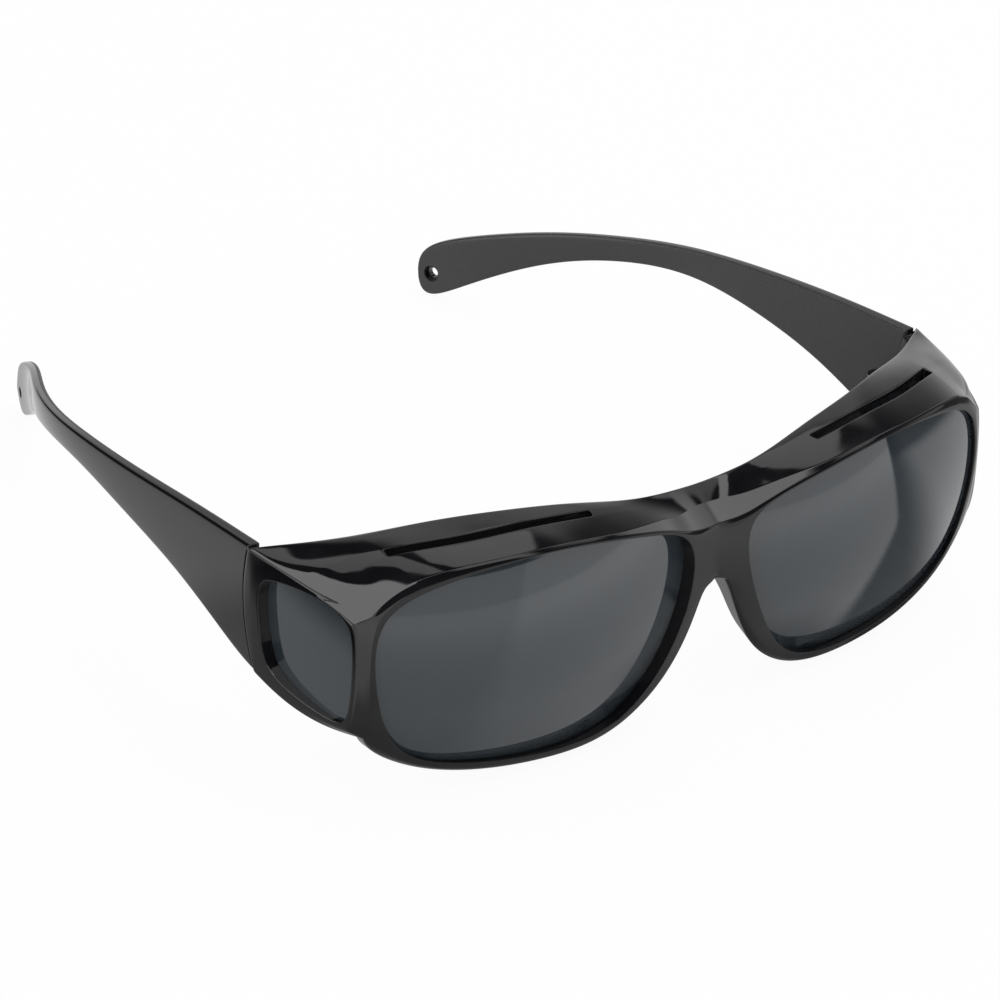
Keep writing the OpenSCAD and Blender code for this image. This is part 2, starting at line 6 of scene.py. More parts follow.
import bmesh
import bpy
import numpy as np
from bpy.props import FloatProperty, FloatVectorProperty, IntProperty, PointerProperty
from mathutils import Matrix, Vector


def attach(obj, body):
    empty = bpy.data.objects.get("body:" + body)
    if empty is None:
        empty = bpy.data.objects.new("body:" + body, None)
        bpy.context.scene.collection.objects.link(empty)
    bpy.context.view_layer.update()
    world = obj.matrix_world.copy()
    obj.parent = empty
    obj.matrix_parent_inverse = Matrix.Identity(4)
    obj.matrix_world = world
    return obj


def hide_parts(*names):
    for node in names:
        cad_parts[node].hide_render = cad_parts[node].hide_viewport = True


bl_info = {
    "name": "Fit-over driving glasses",
    "version": (1, 0, 0),
    "blender": (4, 5, 0),
    "location": "View3D > Sidebar > Glasses",
    "description": "Builds the front, lenses, temples and hinge screws of a pair of fit-over glasses",
    "category": "Object",
}

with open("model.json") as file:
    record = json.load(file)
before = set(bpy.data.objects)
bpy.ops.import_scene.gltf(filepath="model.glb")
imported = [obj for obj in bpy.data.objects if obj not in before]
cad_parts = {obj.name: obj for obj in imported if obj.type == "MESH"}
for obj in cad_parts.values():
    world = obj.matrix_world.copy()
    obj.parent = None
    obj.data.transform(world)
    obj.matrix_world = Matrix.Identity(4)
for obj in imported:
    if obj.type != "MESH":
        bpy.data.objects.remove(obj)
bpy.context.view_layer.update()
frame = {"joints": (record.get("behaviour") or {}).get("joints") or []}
MM = 0.001


# Property groups: sizes and colours that a user would change


def length(name, default, description):
    return FloatProperty(name=name, default=default, description=description, unit="LENGTH")


def colour_of(name, default, description):
    return FloatVectorProperty(name=name, default=default, description=description, subtype="COLOR",
                               size=3, min=0, max=1)


class FrontSizes(bpy.types.PropertyGroup):
    """Sizes of the moulded front"""

    bridge_w: length("Bridge width", 0.012, "Gap between the two lens openings")
    lens_w: length("Opening width", 0.0602, "Width of a lens opening")
    lens_h: length("Opening height", 0.0398, "Height of a lens opening")
    shoulder_w: length("Shoulder width", 0.0078, "From a lens opening to the hinge end")
    reach: length("Front reach", 0.0353, "How far the front stands ahead of the hinge ends")
    shelf_wall: length("Shelf wall", 0.0018, "Wall of the brow shelf")
    shield_wall: length("Shield wall", 0.003, "Wall of the side shields")
    slot_len: length("Slot length", 0.0364, "Length of a brow slot")
    slot_w: length("Slot width", 0.0019, "Width of a brow slot")
    detail: IntProperty(name="Detail", default=2, description="Subdivision levels of the front", min=0,
                        max=3)


class LensSizes(bpy.types.PropertyGroup):
    """Sizes of the lenses and of the recess that they sit in"""

    thick: length("Lens thickness", 0.0016, "Thickness of a main lens")
    recess_outer: length("Recess, temple side", 0.0008, "Depth of the lens behind the rim")
    recess_inner: length("Recess, nose side", 0.003, "Depth of the lens behind the rim")
    groove: length("Groove", 0.0005, "Depth of the groove that holds a lens")
    side_thick: length("Side lens thickness", 0.001, "Thickness of a side lens")
    tint: colour_of("Tint", (0.029, 0.037, 0.044), "Smoke tint of the lenses")
    density: FloatProperty(name="Density", description="How much of the light the tint stops",
                           default=0.985, subtype="FACTOR", min=0, max=1)


class TempleSizes(bpy.types.PropertyGroup):
    """Sizes of the temples and of their hinges"""

    reach: length("Reach", 0.1164, "From the hinge end back to the tip")
    curve: length("Inward curve", 0.0262, "How far the tip curves inward")
    height: length("Height at the hinge", 0.0228, "Height of a temple at its hinge end")
    thick: length("Thickness at the hinge", 0.0028, "Thickness at the hinge end")
    tip_thick: length("Thickness at the tip", 0.0022, "Thickness at the tip")
    lanyard_r: length("Lanyard hole", 0.001, "Radius of the lanyard hole")
    knuckle_r: length("Knuckle radius", 0.0022, "Radius of a hinge knuckle")
    screw_r: length("Screw radius", 0.0008, "Radius of a hinge screw")


class FinishColours(bpy.types.PropertyGroup):
    """Colours of the moulded and metal parts"""

    black: colour_of("Gloss black", (0.006, 0.006, 0.007), "Polished mouldings")
    matte: colour_of("Inner black", (0.030, 0.030, 0.031), "Textured inner faces")
    steel: colour_of("Screw steel", (0.62, 0.62, 0.64), "Hinge screws")


class StageSettings(bpy.types.PropertyGroup):
    """Camera, floor and lamps"""

    camera_at: FloatVectorProperty(name="Camera place", default=(-0.4126, -0.5148, 0.2906), size=3,
                                   description="Before the glasses are tipped to stand",
                                   subtype="TRANSLATION")
    focal: FloatProperty(name="Focal length", default=150.06, description="In millimetres, 36 mm sensor")
    level: FloatProperty(name="Light level", default=1.0, description="Strength of the surroundings", min=0)


class GlassesSettings(bpy.types.PropertyGroup):
    """Everything that the operators read"""

    front: PointerProperty(type=FrontSizes)
    lens: PointerProperty(type=LensSizes)
    temple: PointerProperty(type=TempleSizes)
    finish: PointerProperty(type=FinishColours)
    stage: PointerProperty(type=StageSettings)


def in_mm(group, name):
    return getattr(group, name) / MM


# Placing: the pieces are drawn with level temples, then tipped as the frame stands

HINGE = next(j for j in frame["joints"] if j["name"] == "left_hinge")
TILT = math.atan2(HINGE["axis"][1], HINGE["axis"][2])
AXIS_X, AXIS_Y = 68.8, 4.2
BARREL_MID = -14.2


def tipped(points):
    """Turns points from level temples to the way that the glasses stand"""
    p = np.asarray(points, float).reshape(-1, 3)
    c, s = math.cos(TILT), math.sin(TILT)
    return np.stack([p[:, 0], p[:, 1] * c + p[:, 2] * s, p[:, 2] * c - p[:, 1] * s], 1)


LIFT = np.array(HINGE["pos_m"]) / MM - tipped([(AXIS_X, AXIS_Y, BARREL_MID)])[0]


def placed(points):
    """Millimetres with level temples to metres in the frame"""
    return (tipped(points) + LIFT) * MM


# Curves


def spline(ctrl, u, closed=False):
    """Points on a cubic spline near its control points, at the parameters u"""
    c = np.asarray(ctrl, float)
    n = len(c)
    u = np.atleast_1d(np.asarray(u, float))
    i = np.minimum(np.floor(u), n - (1 if closed else 2)).astype(int)
    t = (u - i)[:, None]
    if closed:
        knots = [c[(i + k) % n] for k in (-1, 0, 1, 2)]
    else:
        p = np.vstack([2 * c[0] - c[1], c, 2 * c[-1] - c[-2]])
        knots = [p[i + k + 1] for k in (-1, 0, 1, 2)]
    w = [(1 - t) ** 3, 3 * t ** 3 - 6 * t ** 2 + 4, 3 * (t + t ** 2 - t ** 3) + 1, t ** 3]
    return sum(a * b for a, b in zip(w, knots)) / 6


def along(ctrl, s):
    """The same, with s from 0 to 1 over the whole curve"""
    return spline(ctrl, np.asarray(s) * (len(ctrl) - 1))


def mix(a, b, t):
    return a + (b - a) * t


def smooth(t):
    s = np.clip(t, 0, 1)
    return s * s * (3 - 2 * s)


def spaced(n, first=0, last=0):
    """n steps from 0 to 1, with extra stops close to an end for a crisp corner"""
    clear = 1.6
    s = set(np.round(np.linspace(0, 1, n + 1), 6))
    if first:
        s = {v for v in s if v == 0 or v > first * clear} | {first}
    if last:
        s = {v for v in s if v == 1 or v < 1 - last * clear} | {1 - last}
    return np.array(sorted(s))


def fit_box(p, lo, hi):
    a, b = p.min(0), p.max(0)
    return mix(np.array(lo), np.array(hi), (p - a) / (b - a))


class Outline:
    """A closed outline that can be read at any angle round a centre"""

    def __init__(self, points, centre):
        self.c = np.array(centre, float)
        d = points - self.c
        a = np.degrees(np.arctan2(d[:, 1], d[:, 0]))
        order = np.argsort(a)
        self.a = np.concatenate([a[order] - 360, a[order], a[order] + 360])
        self.r = np.tile(np.linalg.norm(d, axis=1)[order], 3)

    def at(self, angle, grow=0.0):
        angle = np.asarray(angle, float)
        r = np.interp(angle - 360 * np.round(angle / 360), self.a, self.r) + grow
        rad = np.radians(angle)
        return self.c + r[..., None] * np.stack([np.cos(rad), np.sin(rad)], -1)

    def angles(self, points, turn):
        """Angles of a ring's points, which run round the centre one way: turn is 1 or -1"""
        d = points - self.c
        a = np.degrees(np.arctan2(d[:, 1], d[:, 0]))
        return np.where(turn * (a - a[0]) < 0, a + turn * 360, a)

    def even_angles(self, points, turn, ease):
        """The same, evened out over a length of ease each way along the ring"""
        a = self.angles(points, turn)
        step = np.linalg.norm(np.diff(np.vstack([points, points[:1]]), axis=0), axis=1)
        s = np.concatenate([[0], np.cumsum(step)])
        fine_step = 0.1
        fine = np.arange(-ease, s[-1] + ease, fine_step)
        wrapped = np.interp(fine % s[-1], s, np.append(a, a[0] + turn * 360))
        wrapped += turn * 360 * np.floor(fine / s[-1])
        k = int(ease / fine_step)
        kernel = np.hanning(2 * k + 1)
        padded = np.convolve(wrapped, kernel / kernel.sum(), mode="same")
        return np.interp(s[:-1], fine[k:-k], padded[k:-k])


# Meshes from grids of points

# In millimetres: the cell in which points become one, and the snap to the mirror plane
MERGE = 0.002
ON_MIRROR = 1e-5


def across(a, b, near, far, middle=1):
    """Stops from a to b with support points near both ends, kept within 0.3 of the way"""
    width = np.maximum(np.linalg.norm(b - a, axis=-1), 1e-6)
    s1, s2 = np.minimum(near / width, 0.3), np.minimum(far / width, 0.3)
    inner = [mix(s1, 1 - s2, k / (middle + 1)) for k in range(1, middle + 1)]
    return np.stack([np.zeros_like(s1), s1, *inner, 1 - s2, np.ones_like(s1)], -1)


class Shell:
    """Grids of points that meet along their borders, gathered into one mesh"""

    def __init__(self):
        self.points, self.faces, self.creased = [], [], []

    def grid(self, rows, ring=False, skip=None, creases=()):
        """Quads between rows of points: a ring closes on itself, skip leaves quads out"""
        n, m = rows.shape[:2]
        base = len(self.points)
        self.points.extend(rows.reshape(-1, 3))
        for i in range(n if ring else n - 1):
            for j in range(m - 1):
                if skip and skip(i, j):
                    continue
                a, b = base + i * m + j, base + ((i + 1) % n) * m + j
                self.faces.append((a, b, b + 1, a + 1))
        for j in creases:
            for i in range(n if ring else n - 1):
                self.creased.append((base + i * m + j, base + ((i + 1) % n) * m + j))

    def band(self, a, b, near, far, middle=1, ring=False):
        """The strip between two lines of points, with support lines beside both"""
        s = across(a, b, near, far, middle)[..., None]
        self.grid(mix(a[:, None], b[:, None], s), ring=ring)

    def mirror(self):
        """Adds the other side of the glasses"""
        base = len(self.points)
        self.points.extend([p * (-1, 1, 1) for p in self.points[:base]])
        self.faces.extend([tuple(base + i for i in f) for f in self.faces])
        self.creased.extend([tuple(base + i for i in e) for e in self.creased])

    def mesh(self, name):
        """One closed mesh: points in the same cell of the merging grid are one"""
        p = np.array(self.points)
        p[np.abs(p[:, 0]) < ON_MIRROR, 0] = 0
        key = np.round(p / MERGE).astype(np.int64)
        _, first, same = np.unique(key, axis=0, return_index=True, return_inverse=True)
        same = same.reshape(-1)
        mesh = bpy.data.meshes.new(name)
        bm = bmesh.new()
        verts = [bm.verts.new(v) for v in placed(p[first])]
        for f in self.faces:
            ids = []
            for i in f:
                if not ids or same[i] != ids[-1]:
                    ids.append(int(same[i]))
            if ids[0] == ids[-1]:
                ids.pop()
            if len(set(ids)) < 3:
                continue
            loop = [verts[i] for i in ids]
            if bm.faces.get(loop) is None:
                bm.faces.new(loop)
        bm.normal_update()
        bmesh.ops.recalc_face_normals(bm, faces=bm.faces)
        layer = bm.edges.layers.float.new("crease_edge")
        for a, b in self.creased:
            e = bm.edges.get((verts[same[a]], verts[same[b]])) if same[a] != same[b] else None
            if e:
                e[layer] = 1.0
        bmesh.ops.delete(bm, geom=[v for v in bm.verts if not v.link_faces], context="VERTS")
        bm.to_mesh(mesh)
        bm.free()
        return mesh


def link(name, mesh):
    obj = bpy.data.objects.new(name, mesh)
    bpy.context.scene.collection.objects.link(obj)
    return obj


def object_from(bm, name):
    mesh = bpy.data.meshes.new(name)
    bm.to_mesh(mesh)
    bm.free()
    return link(name, mesh)


def face_outwards(mesh, merge=0.0):
    """Turns every face outwards, after joining points that are closer than merge"""
    bm = bmesh.new()
    bm.from_mesh(mesh)
    if merge:
        bmesh.ops.remove_doubles(bm, verts=bm.verts, dist=merge)
    bmesh.ops.recalc_face_normals(bm, faces=bm.faces)
    bm.to_mesh(mesh)
    bm.free()


def apply_modifiers(obj):
    """Turns an object with modifiers into a plain mesh"""
    graph = bpy.context.evaluated_depsgraph_get()
    done = bpy.data.meshes.new_from_object(obj.evaluated_get(graph), depsgraph=graph)
    done.name = obj.name
    obj.modifiers.clear()
    obj.data = done


def shade(obj, angle):
    """Smooth faces, with hard edges only past the angle in degrees"""
    for poly in obj.data.polygons:
        poly.use_smooth = True
    bm = bmesh.new()
    bm.from_mesh(obj.data)
    for e in bm.edges:
        e.smooth = len(e.link_faces) == 2 and e.calc_face_angle(0) < math.radians(angle)
    bm.to_mesh(obj.data)
    bm.free()


def subdivide(obj, levels):
    mod = obj.modifiers.new("Rounding", "SUBSURF")
    mod.levels = mod.render_levels = levels
    mod.boundary_smooth = "PRESERVE_CORNERS"
    apply_modifiers(obj)


def combine(obj, others, operation):
    """Boolean of an object with others, which are used up"""
    for other in others:
        mod = obj.modifiers.new(other.name, "BOOLEAN")
        mod.operation, mod.solver, mod.object = operation, "EXACT", other
    apply_modifiers(obj)
    for other in others:
        bpy.data.objects.remove(other)


def material_of(obj, material):
    obj.data.materials.clear()
    obj.data.materials.append(material)


# Node trees written as expressions


def math_method(operation, swap=False):
    """A method that adds a Math node for a value and another value or number"""
    def method(self, other=0.0):
        a, b = (other, self) if swap else (self, other)
        return self.tree.node("ShaderNodeMath", {0: a, 1: b}, operation=operation)

    return method


class Value:
    """A node socket that adds its Math nodes when it is used in an expression"""

    def __init__(self, tree, socket):
        self.tree, self.socket = tree, socket

    __add__, __radd__ = math_method("ADD"), math_method("ADD", True)
    __sub__, __rsub__ = math_method("SUBTRACT"), math_method("SUBTRACT", True)
    __mul__, __truediv__ = math_method("MULTIPLY"), math_method("DIVIDE")
    __abs__ = math_method("ABSOLUTE")
    at_least, at_most = math_method("MAXIMUM"), math_method("MINIMUM")

    def clamped(self):
        return self.at_least(0.0).at_most(1.0)

    def ramp(self, lo, hi):
        """0 below lo, 1 above hi, eased between"""
        return self.tree.node("ShaderNodeMapRange", {"Value": self, "From Min": lo, "From Max": hi},
                              interpolation_type="SMOOTHSTEP")


class Tree:
    """A node tree with one method that adds any node"""

    def __init__(self, tree):
        self.tree = tree
        self.count = 0

    def node(self, kind, values=None, out=0, **settings):
        """Adds a node: values go to its inputs, settings are its own, out is the output to use"""
        n = self.tree.nodes.new(kind)
        n.location = (200 * (self.count % 12), -220 * (self.count // 12))
        self.count += 1
        for key, v in settings.items():
            setattr(n, key, v)
        for key, v in (values or {}).items():
            if isinstance(v, Value):
                self.tree.links.new(v.socket, n.inputs[key])
            else:
                n.inputs[key].default_value = v
        return Value(self, n.outputs[out]) if n.outputs else n

    def out(self, value, name):
        """Another output of the node behind a value"""
        return Value(self, value.socket.node.outputs[name])

    def mix_colour(self, factor, a, b):
        """Sockets 6 and 7 of this node are its two colours, and its output 2 is the mixed one"""
        return self.node("ShaderNodeMix", {"Factor": factor, 6: a, 7: b}, out=2, data_type="RGBA")

    def mix_number(self, factor, a, b):
        return self.node("ShaderNodeMix", {"Factor": factor, "A": a, "B": b}, data_type="FLOAT")

    def vector(self, **parts):
        return self.node("ShaderNodeCombineXYZ", parts)

    def vector_math(self, operation, a, b, out=0):
        return self.node("ShaderNodeVectorMath", {0: a, 1: b}, out, operation=operation)

    def coordinates(self, out=3):
        """Output 3 is Object, output 0 is Generated, which in a world is the ray's direction"""
        return self.node("ShaderNodeTexCoord", out=out)

    def parts(self, vector):
        """A vector's X, Y and Z, as one value whose outputs they are"""
        return self.node("ShaderNodeSeparateXYZ", {0: vector})


def new_material(name):
    material = bpy.data.materials.new(name)
    material.use_nodes = True
    material.node_tree.nodes.clear()
    return material, Tree(material.node_tree)


def finish_material(tree, values):
    shader = tree.node("ShaderNodeBsdfPrincipled", values)
    tree.node("ShaderNodeOutputMaterial", {"Surface": shader})


def rgba(colour, times=1.0):
    """A colour for a socket, made brighter or darker by a factor"""
    return (*[c * times for c in colour], 1.0)


def noise(tree, where, scale, detail):
    """Noise over the Object coordinates: scale is in waves to the metre"""
    return tree.node("ShaderNodeTexNoise", {"Vector": where, "Scale": scale, "Detail": detail})


def bump_of(tree, height, strength, distance, **under):
    """A bump of so many metres, over another one given as Normal"""
    return tree.node("ShaderNodeBump", {"Strength": strength, "Distance": distance, "Height": height,
                                        **under})


PLASTIC_IOR = 1.5


def gloss_black(name, colours):
    """Polished moulding: near black, with the faint waves and bloom of moulded plastic"""
    material, t = new_material(name)
    where = t.coordinates()
    wave = noise(t, where, scale=90.0, detail=1.0)
    bloom = noise(t, where, scale=260.0, detail=3.0)
    grain = noise(t, where, scale=4200.0, detail=2.0)
    waves = bump_of(t, wave, strength=0.10, distance=0.0004)
    fine = bump_of(t, grain, strength=0.025, distance=0.00004, Normal=waves)
    lift = bloom.ramp(0.35, 0.75)
    colour = t.mix_colour(lift * 0.5, rgba(colours.black), rgba(colours.black, 1.7))
    finish_material(t, {"Base Color": colour, "Roughness": 0.045 + lift * 0.035, "Normal": fine,
                        "IOR": PLASTIC_IOR})
    return material


def temple_black(name, colours):
    """Polished outside and edges; the attribute 'inner' turns the inner face to a fine matte grain"""
    material, t = new_material(name)
    where = t.coordinates()
    inner = t.node("ShaderNodeAttribute", out=2, attribute_name="inner")
    wave = noise(t, where, scale=70.0, detail=1.0)
    bloom = noise(t, where, scale=240.0, detail=3.0)
    grain = t.node("ShaderNodeTexVoronoi", {"Vector": where, "Scale": 2600.0}, feature="SMOOTH_F1")
    patch = noise(t, where, scale=35.0, detail=3.0)
    matte = ((inner - 0.5) * 4.0 + 0.5).clamped()
    waves = bump_of(t, wave, strength=0.10, distance=0.0004)
    grainy = bump_of(t, grain * matte, strength=0.35, distance=0.00005, Normal=waves)
    colour = t.mix_colour(matte, rgba(colours.black), rgba(colours.matte))
    colour = t.mix_colour(patch.ramp(0.4, 0.8) * matte * 0.4, colour, rgba(colours.matte, 1.5))
    rough = bloom * 0.05 + 0.05 + matte * 0.40
    finish_material(t, {"Base Color": colour, "Roughness": rough, "Normal": grainy, "IOR": PLASTIC_IOR})
    return material


def smoke_lens(name, lens):
    """Smoke tint under a clear gloss, with a trace of haze in tint and roughness"""
    material, t = new_material(name)
    where = t.coordinates()
    wave = noise(t, where, scale=45.0, detail=0.0)
    haze = noise(t, where, scale=320.0, detail=3.0)
    waves = bump_of(t, wave, strength=0.03, distance=0.0003)
    tint = t.mix_colour(haze.ramp(0.3, 0.8) * 0.25, rgba(lens.tint), rgba(lens.tint, 1.25))
    finish_material(t, {"Base Color": tint, "Roughness": 0.03 + haze * 0.02, "Alpha": lens.density,
                        "Coat Weight": 1.0, "Coat Roughness": 0.03, "Normal": waves, "IOR": PLASTIC_IOR})
    return material


def screw_steel(name, colours):
    """Steel with the fine marks of turning"""
    material, t = new_material(name)
    where = t.coordinates()
    marks = noise(t, where, scale=3000.0, detail=2.0)
    fine = bump_of(t, marks, strength=0.2, distance=0.00002)
    colour = t.mix_colour(marks.ramp(0.3, 0.8) * 0.5, rgba(colours.steel), rgba(colours.steel, 0.7))
    finish_material(t, {"Base Color": colour, "Metallic": 1.0, "Roughness": 0.24 + marks * 0.12,
                        "Normal": fine})
    return material


# The front: the same surfaces as the CAD source, drawn finer

# The curve of the face: its foremost point, how soft the fold at the bridge is, and its two radii
BULGE_X, BULGE_Z, BRIDGE_SOFT = 27.0, -11.4, 4.0
WRAP_R, BOW_R = 70.0, 60.0
# Heights of the opening's top, of the nose arch and of the bridge
LENS_RISE = 0.2
ARCH_Z, BRIDGE_Z = -16.8, -6.4
# The rim behind the lens, and the play of a lens in its groove
LIP_NOSE, LIP_TEMPLE = 2.4, 2.0
PLAY = 0.05
# Where the rim's outer edge and the shelf's rear rail lie from the hinge end and the foremost line
RIM_INSET, RAIL_BACK = 6.4, 9.8
# The side face: its slope and bow, and how far its end bulges back at the hinge
SIDE_SLOPE, SIDE_BOW = 0.15, 0.0036
HINGE_BULGE = 2.2
# The side window's box in Y and Z, the pocket of its pane, how deep the pane lies at the box's front
# and rear end, and the wall ahead of the window
WINDOW_LOW, WINDOW_HIGH = (-21.6, -26.2), (-1.7, -4.2)
POCKET = 0.4
WINDOW_SINK = (0.6, 2.1)
WALL_AHEAD = 1.9
# Roundings and swells: the rim's lower edge, the nose flange, the inner corner and the shelf
ROUND_OVER = 0.8
FLARE = 2.2
CORNER_IN = np.array([-0.6, 3.6, 1.2])
SHELF_CROWN, SHELF_SWELL = 0.3, 0.8
SLOT_RIB, CORNER_RIB = 0.9, 1.2
BEVEL_STEPS = 8.0


class FrontShape:
    """Curves and surfaces of the front, in millimetres with level temples, for x >= 0"""

    def __init__(self, sizes, lens, temple):
        self.bridge_w, self.lens_w = in_mm(sizes, "bridge_w"), in_mm(sizes, "lens_w")
        self.reach, self.lens_h = in_mm(sizes, "reach"), in_mm(sizes, "lens_h")
        self.shelf_wall, self.shield_wall = in_mm(sizes, "shelf_wall"), in_mm(sizes, "shield_wall")
        self.slot_len, self.slot_w = in_mm(sizes, "slot_len"), in_mm(sizes, "slot_w")
        self.half_span = self.bridge_w / 2 + self.lens_w + in_mm(sizes, "shoulder_w")
        self.lens_t, self.side_t = in_mm(lens, "thick"), in_mm(lens, "side_thick")
        self.r_out, self.r_in = in_mm(lens, "recess_outer"), in_mm(lens, "recess_inner")
        self.groove = in_mm(lens, "groove")
        self.hinge_h = in_mm(temple, "height")
        self.bulge_r = ((self.hinge_h / 2) ** 2 + HINGE_BULGE ** 2) / (2 * HINGE_BULGE)
        self.opening = self.opening_outline()
        self.window_c = np.array([-11.4, -14.6])
        self.window = self.window_outline()
        rim_x, foot = self.half_span - RIM_INSET, LENS_RISE - self.lens_h
        corner, heel = (rim_x - 0.9, LENS_RISE - 6.3), (rim_x - 0.5, foot + 10.6)
        self.top_edge = [(0, BRIDGE_Z), (5.5, BRIDGE_Z + 0.2), (self.bridge_w, LENS_RISE - 3.2),
                         (22, LENS_RISE - 1), (33.5, LENS_RISE + 0.75), (45.5, LENS_RISE + 0.5),
                         (rim_x - 11.2, LENS_RISE), (rim_x - 4.4, LENS_RISE - 2.4), corner]
        self.outer_edge = [corner, (rim_x - 0.1, -9.5), (rim_x + 0.2, -15), (rim_x + 0.1, -22), heel]
        self.rim_edge = [heel, (rim_x - 2, foot + 7.2), (rim_x - 10, foot + 1.9), (46, foot - 0.9),
                         (34.5, foot - 1.8), (24, foot - 2.4), (16, foot + 0.5), (9, -33), (4.5, -23.5),
                         (2.6, ARCH_Z - 0.4), (0, ARCH_Z)]
        back = self.reach - RAIL_BACK
        end = self.half_span
        self.rail_ctrl = [(0, -back, -0.8), (13, -back, -0.4), (25.5, 2 - back, 2.5), (39, 4.5 - back, 4),
                          (end - 24.5, 10.5 - back, 3.1), (end - 12.5, 16.3 - back, 1.2), (end, 0, 0)]

    def opening_outline(self):
        ctrl = [(51.5, -37.5), (62.5, -34), (66.5, -20), (66.5, -6), (55.5, -1.5), (37, 1), (17.5, -2.5),
                (5, -6), (6, -17.5), (11.5, -31), (19.5, -40), (35, -40)]
        low = (self.bridge_w / 2, LENS_RISE - self.lens_h)
        high = (self.bridge_w / 2 + self.lens_w, LENS_RISE)
        centre = (self.bridge_w / 2 + self.lens_w / 2, LENS_RISE - self.lens_h / 2)
        return Outline(fit_box(spline(ctrl, np.arange(0, len(ctrl), 0.02), closed=True), low, high), centre)

    def window_outline(self):
        ctrl = [(-1.6, -11), (-1.7, -6.2), (-4.6, -4.2), (-11, -4.2), (-17.6, -4.9), (-21.4, -7.6),
                (-21.6, -13), (-20.9, -21), (-20, -26.5), (-15.5, -26.2), (-8, -23.8), (-3.4, -21.5),
                (-1.9, -17)]
        ring = spline(ctrl, np.arange(0, len(ctrl), 0.02), closed=True)
        return Outline(fit_box(ring, WINDOW_LOW, WINDOW_HIGH), self.window_c)

    def face_y(self, x, z):
        s = np.sqrt(x * x + BRIDGE_SOFT ** 2)
        return -self.reach + (s - BULGE_X) ** 2 / (2 * WRAP_R) + (z - BULGE_Z) ** 2 / (2 * BOW_R)

    def on_face(self, q, back=0.0):
        return np.stack([q[..., 0], self.face_y(q[..., 0], q[..., 1]) + back, q[..., 1]], -1)

    def rim_share(self, x):
        """0 at the nose side of the opening, 1 at its temple side"""
        return np.clip((x - self.bridge_w / 2) / self.lens_w, 0, 1)

    def recess(self, x):
        return mix(self.r_in, self.r_out, self.rim_share(x))

    def groove_back(self, x):
        return self.recess(x) + self.lens_t + 2 * PLAY

    def depth(self, x):
        """From the face to the back of the rim"""
        return self.groove_back(x) + mix(LIP_NOSE, LIP_TEMPLE, self.rim_share(x))

    def side_x(self, y):
        y = np.minimum(y, 0)
        return self.half_span + SIDE_SLOPE * y - SIDE_BOW * y * y

    def top(self, e):
        return self.on_face(along(self.top_edge, e))

    def side(self, s):
        return self.on_face(along(self.outer_edge, s))

    def low(self, s):
        return self.on_face(along(self.rim_edge, s), ROUND_OVER * smooth(np.asarray(s) * 6.4))

    def rail(self, e):
        return along(self.rail_ctrl, e)

    @staticmethod
    def bevel(e):
        """From the rim's top edge to the start of the shelf: wide at the bridge, then narrow"""
        wide, narrow = np.array([0, 3.4, 2.8]), np.array([0, 0.3, 0.35])
        return mix(wide, narrow, smooth(np.asarray(e)[..., None] * 2.2))

    def shelf_start(self, e):
        e = np.asarray(e)
        return self.top(e) + self.bevel(e) * (1 - smooth(e * 4 - 3))[..., None]

    @staticmethod
    def crown(e, t):
        rise = SHELF_CROWN * smooth(e * 5) + SHELF_SWELL * smooth(e * 4 - 2.4)
        z = 4 * rise * (1 - smooth(e * 10 - 9)) * t * (1 - t)
        return np.stack([np.zeros_like(z), np.zeros_like(z), z], -1)

    @staticmethod
    def bulge(e, t):
        """Where the shelf leans out to the side face, near its outer end"""
        late = smooth((t - 0.6) / 0.4)
        start = 0.875 + 0.1 * late
        return smooth((e - start) / (1 - start)) * smooth(BEVEL_STEPS * t / 2.5)

    def shelf(self, e, t):
        e, t = np.broadcast_arrays(np.asarray(e, float), np.asarray(t, float))
        p = mix(self.shelf_start(e.ravel()).reshape(*e.shape, 3), self.rail(e.ravel()).reshape(*e.shape, 3),
                t[..., None]) + self.crown(e, t)
        lean = (self.side_x(p[..., 1]) - p[..., 0]) * self.bulge(e, t)
        p[..., 0] += lean
        return p

    def top_in(self, e):
        e = np.asarray(e, float)
        a, b = self.top(e), self.rail(e)
        run = b[..., 1] - a[..., 1]
        d = np.minimum(self.depth(a[..., 0]), 0.72 * run)
        f = d / run
        z = mix(self.bevel(e)[..., 2], b[..., 2] - a[..., 2], f) - self.shelf_wall + 0.5
        inner = a + np.stack([np.zeros_like(d), d, z], -1)
        return mix(inner, a + CORNER_IN, smooth(e * 5 - 4)[..., None])

    def rail_in(self, e):
        e = np.asarray(e, float)
        shift = np.stack([-self.shield_wall * smooth(e * 6 - 5), np.zeros_like(e),
                          np.full_like(e, -self.shelf_wall - 0.4)], -1)
        return self.rail(e) + shift

    def shelf_in(self, e, t):
        e, t = np.broadcast_arrays(np.asarray(e, float), np.asarray(t, float))
        a = self.top_in(e.ravel()).reshape(*e.shape, 3)
        b = self.rail_in(e.ravel()).reshape(*e.shape, 3)
        p = mix(a, b, t[..., None]) + self.crown(e, t)
        hump = 4 * t * (1 - t)
        p[..., 2] += CORNER_RIB * hump * smooth(e * 10 - 9)
        p[..., 2] -= SLOT_RIB * hump * smooth(e * 8 - 2.2) * smooth(7.4 - e * 8)
        lean = (self.side_x(p[..., 1]) - self.shield_wall - p[..., 0]) * self.bulge(e, t)
        p[..., 0] += lean
        return p

    def side_in(self, s):
        s = np.asarray(s, float)
        return self.side(s) + np.stack([np.full_like(s, CORNER_IN[0]), np.full_like(s, CORNER_IN[1]),
                                        CORNER_IN[2] * (1 - s)], -1)

    @staticmethod
    def flared(x):
        """How far the back of the nose flange spreads outwards and up, near the bridge"""
        k = FLARE * smooth((26 - x) / 18)
        return np.stack([k * 0.94 * smooth(x / 6), np.zeros_like(k), k * 0.34 * smooth((x - 1) / 5)], -1)

